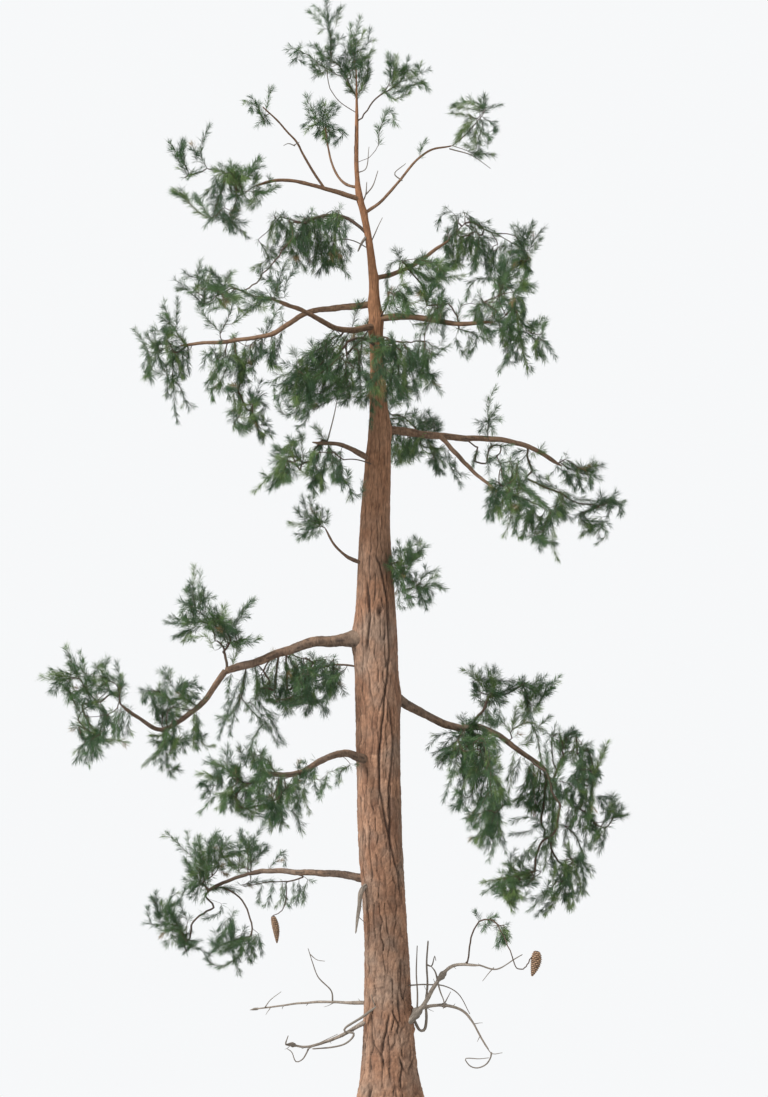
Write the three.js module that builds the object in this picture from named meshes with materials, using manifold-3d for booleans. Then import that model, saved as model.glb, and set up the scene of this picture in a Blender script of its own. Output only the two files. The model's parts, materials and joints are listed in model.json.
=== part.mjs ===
// Tall old pine: one tapering trunk, long level boughs and separate clusters of needles
// Millimetres, +Z up, +X to the right and +Y away from the side that is drawn
import * as THREE from 'three';
import { mergeVertices } from 'three/addons/utils/BufferGeometryUtils.js';
import Module from 'manifold-3d';

const wasm = await Module();
wasm.setup();

// Clearance that is left all round where two solids touch
const clearance = 0.4;

// Trunk sizes
const trunkTop = 19500;
const trunkSides = 18;
const rootFlareHeight = 1500;
const rootFlareSpread = 0.2;
const rootButtresses = 5;

// Trunk stations: height above the ground, axis to the right, axis away, radius
const trunkStations = [
  { height: 0, right: 0, back: 0, radius: 760 },
  { height: 350, right: 0, back: 0, radius: 680 },
  { height: 950, right: -10, back: 0, radius: 575 },
  { height: 1620, right: 0, back: 5, radius: 490 },
  { height: 2340, right: -20, back: 10, radius: 430 },
  { height: 3400, right: -30, back: 20, radius: 400 },
  { height: 4500, right: -80, back: 25, radius: 385 },
  { height: 5600, right: -150, back: 25, radius: 400 },
  { height: 7700, right: -200, back: 20, radius: 395 },
  { height: 9300, right: -240, back: 10, radius: 385 },
  { height: 10200, right: -250, back: 0, radius: 335 },
  { height: 11200, right: -270, back: -10, radius: 270 },
  { height: 12200, right: -215, back: -10, radius: 245 },
  { height: 13000, right: -175, back: 0, radius: 180 },
  { height: 14000, right: -210, back: 10, radius: 130 },
  { height: 15200, right: -240, back: 10, radius: 92 },
  { height: 16300, right: -335, back: 0, radius: 66 },
  { height: 17000, right: -480, back: -10, radius: 52 },
  { height: 17450, right: -600, back: -10, radius: 42 },
  { height: 18500, right: -575, back: 0, radius: 34 },
  { height: trunkTop, right: -590, back: 0, radius: 20 },
];

// Boughs: a height on the trunk, or another bough and how far along it, then the tip.
// Each bend is a share of the way out and how far the limb lies above a straight line there.
const boughSides = 7;
const boughRings = 8;
const collarSwell = 0.35;
const boughs = [
  {
    name: 'bough_top_left', height: 17120, thick: 48, thin: 26,
    tip: { right: -2390, back: -700, height: 17300 },
    bends: [[0.37, 110], [0.79, 140]],
  },
  {
    name: 'bough_top_left_fork', parent: 'bough_top_left', along: 0.36, thick: 26, thin: 14,
    tip: { right: -2250, back: -1080, height: 18680 },
    bends: [[0.65, 140]],
  },
  {
    name: 'bough_top_rising', height: 17330, thick: 28, thin: 14,
    tip: { right: -1155, back: 650, height: 18500 },
    bends: [[0.4, -370], [0.85, -450]],
  },
  {
    name: 'bough_top_right', height: 16850, thick: 32, thin: 16,
    tip: { right: 1155, back: 850, height: 18160 },
    bends: [[0.2, -20], [0.7, 260]],
  },
  {
    name: 'bough_high_back_right', height: 15680, thick: 48, thin: 30,
    tip: { right: 1100, back: 1650, height: 16500 },
    bends: [[0.5, -120]],
  },
  {
    name: 'bough_high_right', height: 14980, thick: 66, thin: 36,
    tip: { right: 1830, back: -950, height: 14850 },
    bends: [[0.3, 40], [0.7, -30]],
  },
  {
    name: 'bough_high_front_left', height: 14830, thick: 62, thin: 34,
    tip: { right: -2080, back: -1900, height: 15220 },
    bends: [[0.35, -230], [0.65, -90]],
  },
  {
    name: 'bough_high_left', height: 15230, thick: 64, thin: 30,
    tip: { right: -3830, back: 1450, height: 14550 },
    bends: [[0.36, 100], [0.52, -140]],
  },
  {
    name: 'bough_short_left', height: 12350, thick: 56, thin: 30,
    tip: { right: -1370, back: -1100, height: 12720 },
    bends: [[0.42, 120]],
  },
  {
    name: 'bough_upper_right', height: 13000, thick: 80, thin: 36,
    tip: { right: 3175, back: 1400, height: 12340 },
    bends: [[0.33, 70], [0.78, 250]],
  },
  {
    name: 'bough_upper_right_fork', parent: 'bough_upper_right', along: 0.32, thick: 48, thin: 26,
    tip: { right: 1965, back: -1250, height: 11790 },
    bends: [[0.45, -60]],
  },
  {
    name: 'bough_spur_left', height: 10480, thick: 36, thin: 18,
    tip: { right: -1145, back: -520, height: 11200 },
    bends: [[0.45, -170], [0.8, -180]],
  },
  {
    name: 'bough_long_left', height: 9180, thick: 118, thin: 64,
    tip: { right: -2910, back: -1100, height: 8655 },
    bends: [[0.2, 120], [0.43, 190], [0.84, 40]],
  },
  {
    name: 'bough_long_left_outer', parent: 'bough_long_left', along: 1, thick: 60, thin: 30,
    tip: { right: -4740, back: -2000, height: 8115 },
    bends: [[0.26, -490], [0.6, -700], [0.83, -350]],
  },
  {
    name: 'bough_low_front_left', height: 6970, thick: 80, thin: 40,
    tip: { right: -2220, back: -2500, height: 6890 },
    bends: [[0.37, 230], [0.68, -20]],
  },
  {
    name: 'bough_low_back_left', height: 4810, thick: 82, thin: 42,
    tip: { right: -2550, back: 2600, height: 4830 },
    bends: [[0.33, 80], [0.7, 60]],
  },
  {
    name: 'bough_long_right', height: 8390, thick: 94, thin: 40,
    tip: { right: 2945, back: 1400, height: 6740 },
    bends: [[0.18, -90], [0.34, -120], [0.46, -50], [0.6, 170]],
  },
  {
    name: 'bough_dead_right', height: 1920, thick: 54, thin: 24,
    tip: { right: 1635, back: -1050, height: 3430 },
    bends: [[0.27, 80], [0.58, 430], [0.68, 430]],
  },
  {
    name: 'bough_dead_droop', height: 2300, thick: 42, thin: 14,
    tip: { right: 1790, back: -500, height: 1850 },
    bends: [[0.46, 540], [0.74, 570]],
  },
  {
    name: 'bough_dead_left', height: 2600, thick: 46, thin: 18,
    tip: { right: -1820, back: -700, height: 1990 },
    bends: [[0.3, -160], [0.78, -210]],
  },
  {
    name: 'bough_broken', height: 4780, thick: 46, thin: 26,
    tip: { right: -600, back: -380, height: 3930 },
    bends: [[0.72, 560]],
  },
  {
    name: 'bough_dead_back_left', height: 2660, thick: 36, thin: 12,
    tip: { right: -2530, back: 900, height: 2430 },
    bends: [[0.5, 70]],
  },
];

// Needle clusters: middle, size each way, how far the underside hangs ragged and its slant.
// A bough that ends in a cluster is named with it; the other boughs run on through the cluster.
const clusterSides = 10;
const clusterRows = 6;
const clusters = [
  {
    name: 'needles_leader', right: -540, back: 0, height: 19640,
    wide: 600, deep: 760, tall: 1580, hang: 0, slant: 0,
  },
  {
    name: 'needles_top_left', right: -1270, back: 100, height: 19960,
    wide: 1150, deep: 1000, tall: 1340, hang: 0.2, slant: -25,
  },
  {
    name: 'needles_top_right', right: 120, back: -350, height: 19170,
    wide: 1220, deep: 1150, tall: 1040, hang: 0, slant: 20,
  },
  {
    name: 'needles_branch_top_left', ends: 'bough_top_left_fork',
    right: -2250, back: -1100, height: 18720,
    wide: 480, deep: 600, tall: 720, hang: 0, slant: 15,
  },
  {
    name: 'needles_beside_leader', ends: 'bough_top_rising',
    right: -1095, back: 750, height: 18650,
    wide: 910, deep: 1000, tall: 870, hang: 0.2, slant: 0,
  },
  {
    name: 'needles_top_far_right', ends: 'bough_top_right',
    right: 1540, back: 950, height: 18410,
    wide: 1140, deep: 1300, tall: 1320, hang: 0.1, slant: -20,
  },
  {
    name: 'needles_top_left_wing', ends: 'bough_top_left',
    right: -2885, back: -800, height: 17055,
    wide: 1920, deep: 1800, tall: 1480, hang: 0.3, slant: -10,
  },
  {
    name: 'needles_top_far_left', right: -3555, back: -600, height: 17850,
    wide: 800, deep: 1000, tall: 1080, hang: 0, slant: 0,
  },
  {
    name: 'needles_under_top_left', right: -1340, back: 150, height: 16360,
    wide: 2080, deep: 2600, tall: 1300, hang: 0.7, slant: 0,
  },
  {
    name: 'needles_high_back_right', ends: 'bough_high_back_right',
    right: 1880, back: 2000, height: 16420,
    wide: 1990, deep: 2200, tall: 1380, hang: 0.7, slant: 0,
  },
  {
    name: 'needles_high_right_inner', right: 770, back: -800, height: 15410,
    wide: 1650, deep: 2200, tall: 1560, hang: 0.4, slant: 0,
  },
  {
    name: 'needles_high_right_outer', ends: 'bough_high_right',
    right: 2215, back: -1000, height: 14990,
    wide: 1440, deep: 2200, tall: 2140, hang: 0.6, slant: 10,
  },
  {
    name: 'needles_high_front_left', ends: 'bough_high_front_left',
    right: -2780, back: -2100, height: 15190,
    wide: 1950, deep: 2000, tall: 1350, hang: 0.3, slant: 20,
  },
  {
    name: 'needles_high_far_left', ends: 'bough_high_left',
    right: -4125, back: 1500, height: 14270,
    wide: 1090, deep: 1900, tall: 2210, hang: 0.6, slant: -10,
  },
  {
    name: 'needles_under_high_left', right: -2640, back: 1300, height: 13840,
    wide: 1520, deep: 2000, tall: 2120, hang: 0.6, slant: 10,
  },
  {
    name: 'needles_fan_front_left', right: -1410, back: -1150, height: 13950,
    wide: 1480, deep: 2000, tall: 1900, hang: 0.4, slant: -35,
  },
  {
    name: 'needles_front', right: 160, back: -1300, height: 13980,
    wide: 1760, deep: 2700, tall: 1340, hang: 0.8, slant: 0,
  },
  {
    name: 'needles_high_back', right: -220, back: 1700, height: 14220,
    wide: 2050, deep: 3300, tall: 1740, hang: 0.5, slant: 0,
  },
  {
    name: 'needles_short_left', ends: 'bough_short_left',
    right: -1430, back: -1100, height: 12260,
    wide: 1900, deep: 2400, tall: 1150, hang: 0.6, slant: 0,
  },
  {
    name: 'needles_upper_right_inner', right: 645, back: 1300, height: 12690,
    wide: 1400, deep: 2900, tall: 1360, hang: 0.3, slant: 20,
  },
  {
    name: 'needles_upper_right_hanging', ends: 'bough_upper_right_fork',
    right: 2330, back: -1400, height: 11645,
    wide: 1480, deep: 2100, tall: 2060, hang: 0.7, slant: 20,
  },
  {
    name: 'needles_upper_right_tip', ends: 'bough_upper_right',
    right: 3560, back: 1500, height: 11740,
    wide: 1490, deep: 1900, tall: 1720, hang: 0.5, slant: 30,
  },
  {
    name: 'needles_spur_left', ends: 'bough_spur_left',
    right: -1405, back: -550, height: 11380,
    wide: 710, deep: 800, tall: 820, hang: 0, slant: 0,
  },
  {
    name: 'needles_spur_right', right: 430, back: -300, height: 10410,
    wide: 1190, deep: 1700, tall: 1290, hang: 0.1, slant: 10,
  },
  {
    name: 'needles_on_long_left', right: -3145, back: -1150, height: 9550,
    wide: 1560, deep: 1900, tall: 1940, hang: 0, slant: -20,
  },
  {
    name: 'needles_far_left', ends: 'bough_long_left_outer',
    right: -5330, back: -2150, height: 8065,
    wide: 1540, deep: 2000, tall: 2070, hang: 0.3, slant: 10,
  },
  {
    name: 'needles_long_left_bend', right: -3825, back: -1600, height: 7795,
    wide: 1220, deep: 1800, tall: 1910, hang: 0.4, slant: -15,
  },
  {
    name: 'needles_under_long_left', right: -1695, back: 300, height: 8220,
    wide: 1830, deep: 3200, tall: 1910, hang: 0.8, slant: -10,
  },
  {
    name: 'needles_front_left_low', ends: 'bough_low_front_left',
    right: -2280, back: -2800, height: 6670,
    wide: 2070, deep: 2200, tall: 1530, hang: 0.7, slant: -10,
  },
  {
    name: 'needles_back_left_low', ends: 'bough_low_back_left',
    right: -3220, back: 2800, height: 4970,
    wide: 1800, deep: 2100, tall: 1200, hang: 0.1, slant: -10,
  },
  {
    name: 'needles_back_left_far', right: -3950, back: 3150, height: 3980,
    wide: 1150, deep: 1400, tall: 1480, hang: 0.3, slant: -20,
  },
  {
    name: 'needles_back_left_hanging', right: -2680, back: 2500, height: 3830,
    wide: 1520, deep: 1600, tall: 1720, hang: 0.7, slant: 0,
  },
  {
    name: 'needles_long_right_top', right: 2280, back: 1300, height: 7975,
    wide: 1790, deep: 2200, tall: 1420, hang: 0, slant: 0,
  },
  {
    name: 'needles_long_right_inner', right: 1460, back: -100, height: 6520,
    wide: 1470, deep: 2900, tall: 2760, hang: 0.8, slant: 0,
  },
  {
    name: 'needles_long_right_outer', ends: 'bough_long_right',
    right: 3260, back: 1400, height: 6425,
    wide: 2140, deep: 2500, tall: 2300, hang: 0.8, slant: 10,
  },
  {
    name: 'needles_long_right_low', right: 2720, back: 700, height: 4830,
    wide: 1970, deep: 2300, tall: 1380, hang: 0.4, slant: 0,
  },
  {
    name: 'needles_lowest_right', ends: 'bough_dead_right',
    right: 2050, back: -1200, height: 3775,
    wide: 1390, deep: 1700, tall: 1150, hang: 0.3, slant: -15,
  },
];

const barkColour = 0x8f5b3c;
const boughColour = 0x77594a;
const deadColour = 0x85796d;
const needleColour = 0x44603a;
const farNeedleColour = 0x526b3c;

// A closed skin over rings of points, with both ends fanned to their middles
function skin(rings) {
  const sides = rings[0].length;
  const places = [];
  const faces = [];
  for (const ring of rings) {
    for (const point of ring) {
      places.push(point.x, point.y, point.z);
    }
  }
  for (let row = 0; row + 1 < rings.length; row += 1) {
    for (let side = 0; side < sides; side += 1) {
      const here = row * sides + side;
      const beside = row * sides + ((side + 1) % sides);
      faces.push(here, beside, beside + sides);
      faces.push(here, beside + sides, here + sides);
    }
  }
  const ends = [[0, true], [rings.length - 1, false]];
  for (const [row, first] of ends) {
    const middle = new THREE.Vector3();
    for (const point of rings[row]) {
      middle.addScaledVector(point, 1 / sides);
    }
    const hub = places.length / 3;
    places.push(middle.x, middle.y, middle.z);
    for (let side = 0; side < sides; side += 1) {
      const here = row * sides + side;
      const beside = row * sides + ((side + 1) % sides);
      if (first) {
        faces.push(hub, beside, here);
      } else {
        faces.push(hub, here, beside);
      }
    }
  }
  const geometry = new THREE.BufferGeometry();
  geometry.setAttribute('position', new THREE.Float32BufferAttribute(places, 3));
  geometry.setIndex(faces);
  return geometry;
}

function signedVolume(geometry) {
  const places = geometry.attributes.position;
  const faces = geometry.index;
  const corners = [new THREE.Vector3(), new THREE.Vector3(), new THREE.Vector3()];
  let total = 0;
  for (let at = 0; at < faces.count; at += 3) {
    for (let corner = 0; corner < 3; corner += 1) {
      corners[corner].fromBufferAttribute(places, faces.getX(at + corner));
    }
    total += corners[0].dot(corners[1].clone().cross(corners[2])) / 6;
  }
  return total;
}

function toSolid(geometry) {
  const merged = mergeVertices(geometry, 0.001);
  const faces = Uint32Array.from(merged.index.array);
  if (signedVolume(merged) < 0) {
    for (let at = 0; at < faces.length; at += 3) {
      const kept = faces[at];
      faces[at] = faces[at + 1];
      faces[at + 1] = kept;
    }
  }
  const vertProperties = Float32Array.from(merged.attributes.position.array);
  return new wasm.Manifold(new wasm.Mesh({ numProp: 3, vertProperties, triVerts: faces }));
}

// Only the largest body is kept, so that a cut leaves no crumbs
function largestBody(solid) {
  let best = null;
  for (const body of solid.decompose()) {
    if (best === null || body.volume() > best.volume()) {
      best = body;
    }
  }
  return best;
}

function toGeometry(solid) {
  const mesh = solid.getMesh();
  const geometry = new THREE.BufferGeometry();
  geometry.setAttribute('position', new THREE.Float32BufferAttribute(mesh.vertProperties, 3));
  geometry.setIndex(Array.from(mesh.triVerts));
  return geometry;
}

function trunkAt(height) {
  const last = trunkStations.length - 1;
  let row = 0;
  while (row < last - 1 && trunkStations[row + 1].height < height) {
    row += 1;
  }
  const below = trunkStations[row];
  const above = trunkStations[row + 1];
  const share = (height - below.height) / (above.height - below.height);
  return {
    right: THREE.MathUtils.lerp(below.right, above.right, share),
    back: THREE.MathUtils.lerp(below.back, above.back, share),
    radius: THREE.MathUtils.lerp(below.radius, above.radius, share),
  };
}

// The flare is ribbed by the roots and dies out upwards
function trunkSkin(grow) {
  const rings = [];
  for (const station of trunkStations) {
    const flare = Math.max(0, 1 - station.height / rootFlareHeight);
    const ring = [];
    for (let side = 0; side < trunkSides; side += 1) {
      const angle = (side / trunkSides) * Math.PI * 2;
      const ribs = Math.cos(rootButtresses * angle + 0.6) + 0.35 * Math.cos(3 * angle + 1.4);
      const uneven = 0.03 * Math.cos(3 * angle + station.height / 1800);
      const reach = station.radius * (1 + rootFlareSpread * flare * ribs + uneven) + grow;
      ring.push(new THREE.Vector3(
        station.right + reach * Math.cos(angle),
        station.back + reach * Math.sin(angle),
        station.height,
      ));
    }
    rings.push(ring);
  }
  return skin(rings);
}

// The line of a bough, in a plain curve through its start, its bends and its tip
const boughLines = {};
function boughLine(bough) {
  let start;
  if (bough.parent) {
    start = boughLines[bough.parent].getPoint(bough.along);
  } else {
    const foot = trunkAt(bough.height);
    start = new THREE.Vector3(foot.right, foot.back, bough.height);
  }
  const tip = new THREE.Vector3(bough.tip.right, bough.tip.back, bough.tip.height);
  const points = [start];
  for (const [share, rise] of bough.bends) {
    const point = start.clone().lerp(tip, share);
    point.z += rise;
    points.push(point);
  }
  points.push(tip);
  const line = new THREE.CatmullRomCurve3(points, false, 'centripetal');
  boughLines[bough.name] = line;
  return line;
}

function boughSkin(bough, grow) {
  const line = boughLines[bough.name];
  const rings = [];
  for (let row = 0; row < boughRings; row += 1) {
    const share = row / (boughRings - 1);
    const middle = line.getPoint(share);
    const along = line.getTangent(share);
    const across = new THREE.Vector3(0, 0, 1).cross(along).normalize();
    const upward = along.clone().cross(across).normalize();
    const collar = bough.parent ? 0 : collarSwell * Math.max(0, 1 - share * 6);
    const taper = THREE.MathUtils.lerp(bough.thick, bough.thin, Math.pow(share, 0.85));
    const reach = taper * (1 + collar) + grow;
    if (row === 0) {
      middle.addScaledVector(along, -grow);
    }
    if (row === boughRings - 1) {
      middle.addScaledVector(along, grow);
    }
    const ring = [];
    for (let side = 0; side < boughSides; side += 1) {
      const angle = ((side + 0.5 * (row % 2)) / boughSides) * Math.PI * 2;
      const point = middle.clone();
      point.addScaledVector(across, reach * Math.cos(angle));
      point.addScaledVector(upward, reach * Math.sin(angle));
      ring.push(point);
    }
    rings.push(ring);
  }
  return skin(rings);
}

// An uneven lump: waves round and up it, a flatter top and a ragged hanging underside,
// slanted in the plane of the picture and then fitted to the size that it is given
function clusterSkin(cluster, index, grow) {
  const phase = index * 2.4;
  const slant = THREE.MathUtils.degToRad(cluster.slant);
  const axis = new THREE.Vector3(0, 1, 0);
  const rings = [];
  for (let row = 0; row < clusterRows; row += 1) {
    const polar = (Math.PI * (row + 0.4)) / (clusterRows - 0.2);
    const ring = [];
    for (let side = 0; side < clusterSides; side += 1) {
      const angle = ((side + 0.5 * (row % 2)) / clusterSides) * Math.PI * 2;
      const girth = Math.sin(polar);
      const waves = 0.15 * Math.sin(2 * angle + phase)
        + 0.13 * Math.sin(3 * angle + 1.7 * phase + 2 * polar)
        + 0.08 * Math.sin(5 * angle - phase);
      const swell = 1 + girth * waves + 0.07 * Math.cos(4 * polar + phase);
      const point = new THREE.Vector3(
        Math.cos(angle) * girth * swell,
        Math.sin(angle) * girth * swell,
        Math.cos(polar) * swell,
      );
      if (point.z > 0) {
        point.z *= 1 - 0.4 * cluster.hang;
      } else {
        point.z *= 1 + 0.4 * cluster.hang * Math.sin(4 * angle + 2.1 * phase) * girth;
        point.x *= 1 + 0.15 * cluster.hang;
      }
      point.applyAxisAngle(axis, slant);
      ring.push(point);
    }
    rings.push(ring);
  }
  const box = new THREE.Box3();
  for (const ring of rings) {
    box.expandByPoint(ring.reduce((low, point) => low.min(point), ring[0].clone()));
    box.expandByPoint(ring.reduce((high, point) => high.max(point), ring[0].clone()));
  }
  const size = box.getSize(new THREE.Vector3());
  const middle = box.getCenter(new THREE.Vector3());
  const fit = new THREE.Vector3(cluster.wide / size.x, cluster.deep / size.y, cluster.tall / size.z);
  const place = new THREE.Vector3(cluster.right, cluster.back, cluster.height);
  for (const ring of rings) {
    for (const point of ring) {
      point.sub(middle).multiply(fit);
      const out = point.clone().normalize();
      point.addScaledVector(out, grow).add(place);
    }
  }
  return skin(rings);
}

const tree = new THREE.Group();
tree.name = 'pine_tree';

function addPart(name, solid, colour, roughness) {
  const material = new THREE.MeshStandardMaterial({ color: colour, roughness, metalness: 0 });
  const mesh = new THREE.Mesh(toGeometry(solid), material);
  mesh.name = name;
  tree.add(mesh);
}

const trunk = toSolid(trunkSkin(0));
const roomForTrunk = toSolid(trunkSkin(clearance));
addPart('trunk', trunk, barkColour, 0.9);

const clusterRooms = {};
clusters.forEach((cluster, index) => {
  clusterRooms[cluster.name] = toSolid(clusterSkin(cluster, index, clearance));
});

// Each bough starts on the trunk or on its parent and stops where it enters its own cluster
const boughRooms = {};
for (const bough of boughs) {
  boughLine(bough);
  boughRooms[bough.name] = toSolid(boughSkin(bough, clearance));
}
for (const bough of boughs) {
  let limb = toSolid(boughSkin(bough, 0));
  limb = limb.subtract(roomForTrunk);
  for (const other of boughs) {
    if (other === bough) {
      break;
    }
    limb = limb.subtract(boughRooms[other.name]);
  }
  for (const cluster of clusters) {
    if (cluster.ends === bough.name) {
      limb = limb.subtract(clusterRooms[cluster.name]);
    }
  }
  const dead = bough.name.includes('dead') || bough.name.includes('broken');
  addPart(bough.name, largestBody(limb), dead ? deadColour : boughColour, 0.9);
}

// Each cluster is cut round the trunk, the boughs that pass it and the clusters before it
clusters.forEach((cluster, index) => {
  let lump = toSolid(clusterSkin(cluster, index, 0));
  lump = lump.subtract(roomForTrunk);
  for (const bough of boughs) {
    if (cluster.ends !== bough.name) {
      lump = lump.subtract(boughRooms[bough.name]);
    }
  }
  for (let earlier = 0; earlier < index; earlier += 1) {
    lump = lump.subtract(clusterRooms[clusters[earlier].name]);
  }
  addPart(cluster.name, largestBody(lump), index % 2 ? needleColour : farNeedleColour, 0.8);
});

export default tree;
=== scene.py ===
import json
import math

import bmesh
import bpy
import numpy as np
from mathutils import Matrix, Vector
from mathutils.bvhtree import BVHTree

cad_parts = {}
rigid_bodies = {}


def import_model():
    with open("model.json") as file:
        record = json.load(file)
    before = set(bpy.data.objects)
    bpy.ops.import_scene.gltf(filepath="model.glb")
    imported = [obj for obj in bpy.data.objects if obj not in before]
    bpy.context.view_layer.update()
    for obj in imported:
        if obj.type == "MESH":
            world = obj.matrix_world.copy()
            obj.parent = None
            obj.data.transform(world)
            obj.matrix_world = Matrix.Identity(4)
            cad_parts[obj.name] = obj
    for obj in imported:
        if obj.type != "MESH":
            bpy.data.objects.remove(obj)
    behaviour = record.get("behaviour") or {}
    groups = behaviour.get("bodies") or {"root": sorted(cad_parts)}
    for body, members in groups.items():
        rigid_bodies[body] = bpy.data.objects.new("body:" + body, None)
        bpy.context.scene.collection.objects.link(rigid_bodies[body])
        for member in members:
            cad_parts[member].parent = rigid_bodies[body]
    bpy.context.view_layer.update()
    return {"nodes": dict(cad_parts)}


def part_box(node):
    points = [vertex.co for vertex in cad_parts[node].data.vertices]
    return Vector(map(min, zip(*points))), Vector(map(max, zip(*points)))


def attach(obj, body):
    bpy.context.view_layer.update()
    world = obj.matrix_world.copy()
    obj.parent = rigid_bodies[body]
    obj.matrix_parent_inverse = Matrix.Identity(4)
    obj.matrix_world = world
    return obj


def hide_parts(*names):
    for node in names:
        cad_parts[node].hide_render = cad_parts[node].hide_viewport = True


# A tall old pine. The plain needle clusters of the frame give the room that the twigs grow into.
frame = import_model()
nodes = frame["nodes"]
print("frame loaded,", len(nodes), "nodes")

up = np.array([0.0, 0.0, 1.0])
fullTurn = 2.0 * math.pi
hashFactors = (73856093, 19349663, 83492791, 49979693)
hashSteps = ((13, 1274126177), (15, 668265263))


def pairs(numbers):
    return list(zip(numbers[::2], numbers[1::2]))


def unit(vectors):
    return vectors / np.maximum(np.linalg.norm(vectors, axis=-1, keepdims=True), 1e-9)


def bell(distance, width):
    return np.exp(-(distance / width) ** 2)


def smoothStep(low, high, value):
    share = np.clip((value - low) / (high - low), 0.0, 1.0)
    return share * share * (3.0 - 2.0 * share)


def hashed(*cells):
    # whole numbers in, one share from 0 to 1 out for each
    total = np.zeros(np.broadcast(*cells).shape, dtype=np.int64)
    for cell, factor in zip(cells, hashFactors):
        total = total ^ (np.asarray(cell, dtype=np.int64) * factor)
    for shift, factor in hashSteps:
        total = (total ^ (total >> shift)) * factor
    return ((total ^ (total >> 16)) & 0xFFFFFF) / 0xFFFFFF


def softNoise(points, size, seed):
    # smooth lumps of about the given size, from -1 to 1
    scaled = points / size + 100.0
    cell = np.floor(scaled).astype(np.int64)
    part = smoothStep(0.0, 1.0, scaled - cell)
    total = np.zeros(len(points))
    for corner in range(8):
        step = np.array([corner & 1, (corner >> 1) & 1, (corner >> 2) & 1])
        weight = np.prod(np.where(step == 1, part, 1.0 - part), axis=1)
        at = cell + step
        total += weight * hashed(at[:, 0], at[:, 1], at[:, 2], np.full(len(at), seed))
    return total * 2.0 - 1.0


def barkPlates(around, upward, columns, seed):
    # Plates between furrows on a wall that closes on itself. around is a share of a turn and upward
    # counts plates. Gives the distance to the nearest furrow, a random share for each plate, how far
    # the furrow runs upwards rather than across, and a random share for each furrow.
    count = len(around)
    first, second = np.full(count, 9.0), np.full(count, 9.0)
    firstAt, secondAt = np.zeros((count, 3)), np.zeros((count, 3))
    across = around * columns
    column = np.floor(across).astype(np.int64)
    row = np.floor(upward).astype(np.int64)
    for stepAcross in (-1, 0, 1):
        for stepUp in (-1, 0, 1):
            cellAcross, cellUp = column + stepAcross, row + stepUp
            wrapped = np.mod(cellAcross, columns)
            jitter = [hashed(wrapped, cellUp, np.full(count, seed + extra)) for extra in (0, 7, 13)]
            aside = cellAcross + 0.12 + 0.76 * jitter[0] - across
            above = cellUp + 0.1 + 0.8 * jitter[1] - upward
            distance = np.hypot(aside * 1.2, above * 0.85)
            here = np.stack([aside, above, jitter[2]], -1)
            nearer = distance < first
            between = ~nearer & (distance < second)
            secondAt = np.where(nearer[:, None], firstAt, np.where(between[:, None], here, secondAt))
            second = np.where(nearer, first, np.minimum(second, distance))
            firstAt = np.where(nearer[:, None], here, firstAt)
            first = np.where(nearer, distance, first)
    apart = np.abs(firstAt - secondAt)
    upright = apart[:, 0] / (apart[:, 0] + apart[:, 1] + 1e-6)
    furrow = np.mod((firstAt[:, 2] + secondAt[:, 2]) * 7.31, 1.0)
    return second - first, firstAt[:, 2], upright, furrow


class Shading:
    # a material, with short ways to add nodes to it
    def __init__(self, name):
        self.material = bpy.data.materials.new(name)
        self.material.use_nodes = True
        self.tree = self.material.node_tree

    def fill(self, node, inputs):
        # an input takes a value, a colour or the output that feeds it
        for name, given in inputs.items():
            socket = node.inputs[name]
            if isinstance(given, bpy.types.NodeSocket):
                self.tree.links.new(given, socket)
            else:
                socket.default_value = (*given, 1.0) if socket.type == "RGBA" else given

    def add(self, kind, output, inputs={}, **settings):
        node = self.tree.nodes.new("ShaderNode" + kind)
        for name, setting in settings.items():
            setattr(node, name, setting)
        self.fill(node, inputs)
        return node.outputs[output]

    def painted(self, attribute):
        return self.add("Attribute", "Fac", attribute_name=attribute)

    def ramp(self, share, *stops):
        colour = self.add("ValToRGB", "Color", {"Fac": share})
        for element, (place, tone) in zip(colour.node.color_ramp.elements, stops):
            element.position, element.color = place, (*tone, 1.0)
        return colour

    def mix(self, share, first, second, data_type="RGBA", **settings):
        return self.add(
            "Mix", "Result", {"Factor": share, "A": first, "B": second}, data_type=data_type, **settings)

    def finish(self, inputs):
        self.fill(self.tree.nodes["Principled BSDF"], inputs)
        return self.material


def barkMaterial(name, furrow, plateDark, plateLight, patch, high, rise, grain, roughness):
    # dark furrows, plates that differ in tone, greyer patches, flecks and another tone higher up
    bark = Shading(name)
    place = bark.add("TexCoord", "Object")
    stretched = bark.add("Mapping", "Vector", {"Vector": place, "Scale": (1.0, 1.0, 0.3)})
    flecks = bark.add("TexNoise", "Fac", {
        "Vector": stretched, "Scale": grain, "Detail": 6.0, "Roughness": 0.65})
    patches = bark.add("TexNoise", "Fac", {"Vector": place, "Scale": 1.7, "Detail": 3.0})
    patchShare = bark.add("MapRange", "Result", {
        "Value": patches, "From Min": 0.42, "From Max": 0.68, "To Max": 0.75})
    highShare = bark.add("MapRange", "Result", {
        "Value": bark.add("SeparateXYZ", "Z", {"Vector": place}), "From Min": rise[0], "From Max": rise[1]})
    plate = bark.ramp(bark.painted("plateTone"), (0.0, plateDark), (1.0, plateLight))
    fleckTone = bark.ramp(flecks, (0.3, (0.55, 0.52, 0.5)), (0.7, (1.3, 1.26, 1.2)))
    wall = bark.mix(highShare, bark.mix(patchShare, plate, patch), high)
    return bark.finish({
        "Base Color": bark.mix(
            bark.painted("relief"), furrow, bark.mix(1.0, wall, fleckTone, blend_type="MULTIPLY")),
        "Normal": bark.add("Bump", "Normal", {"Height": flecks, "Strength": 0.6, "Distance": 0.012}),
        "Roughness": roughness, "Specular IOR Level": 0.25})


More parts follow.
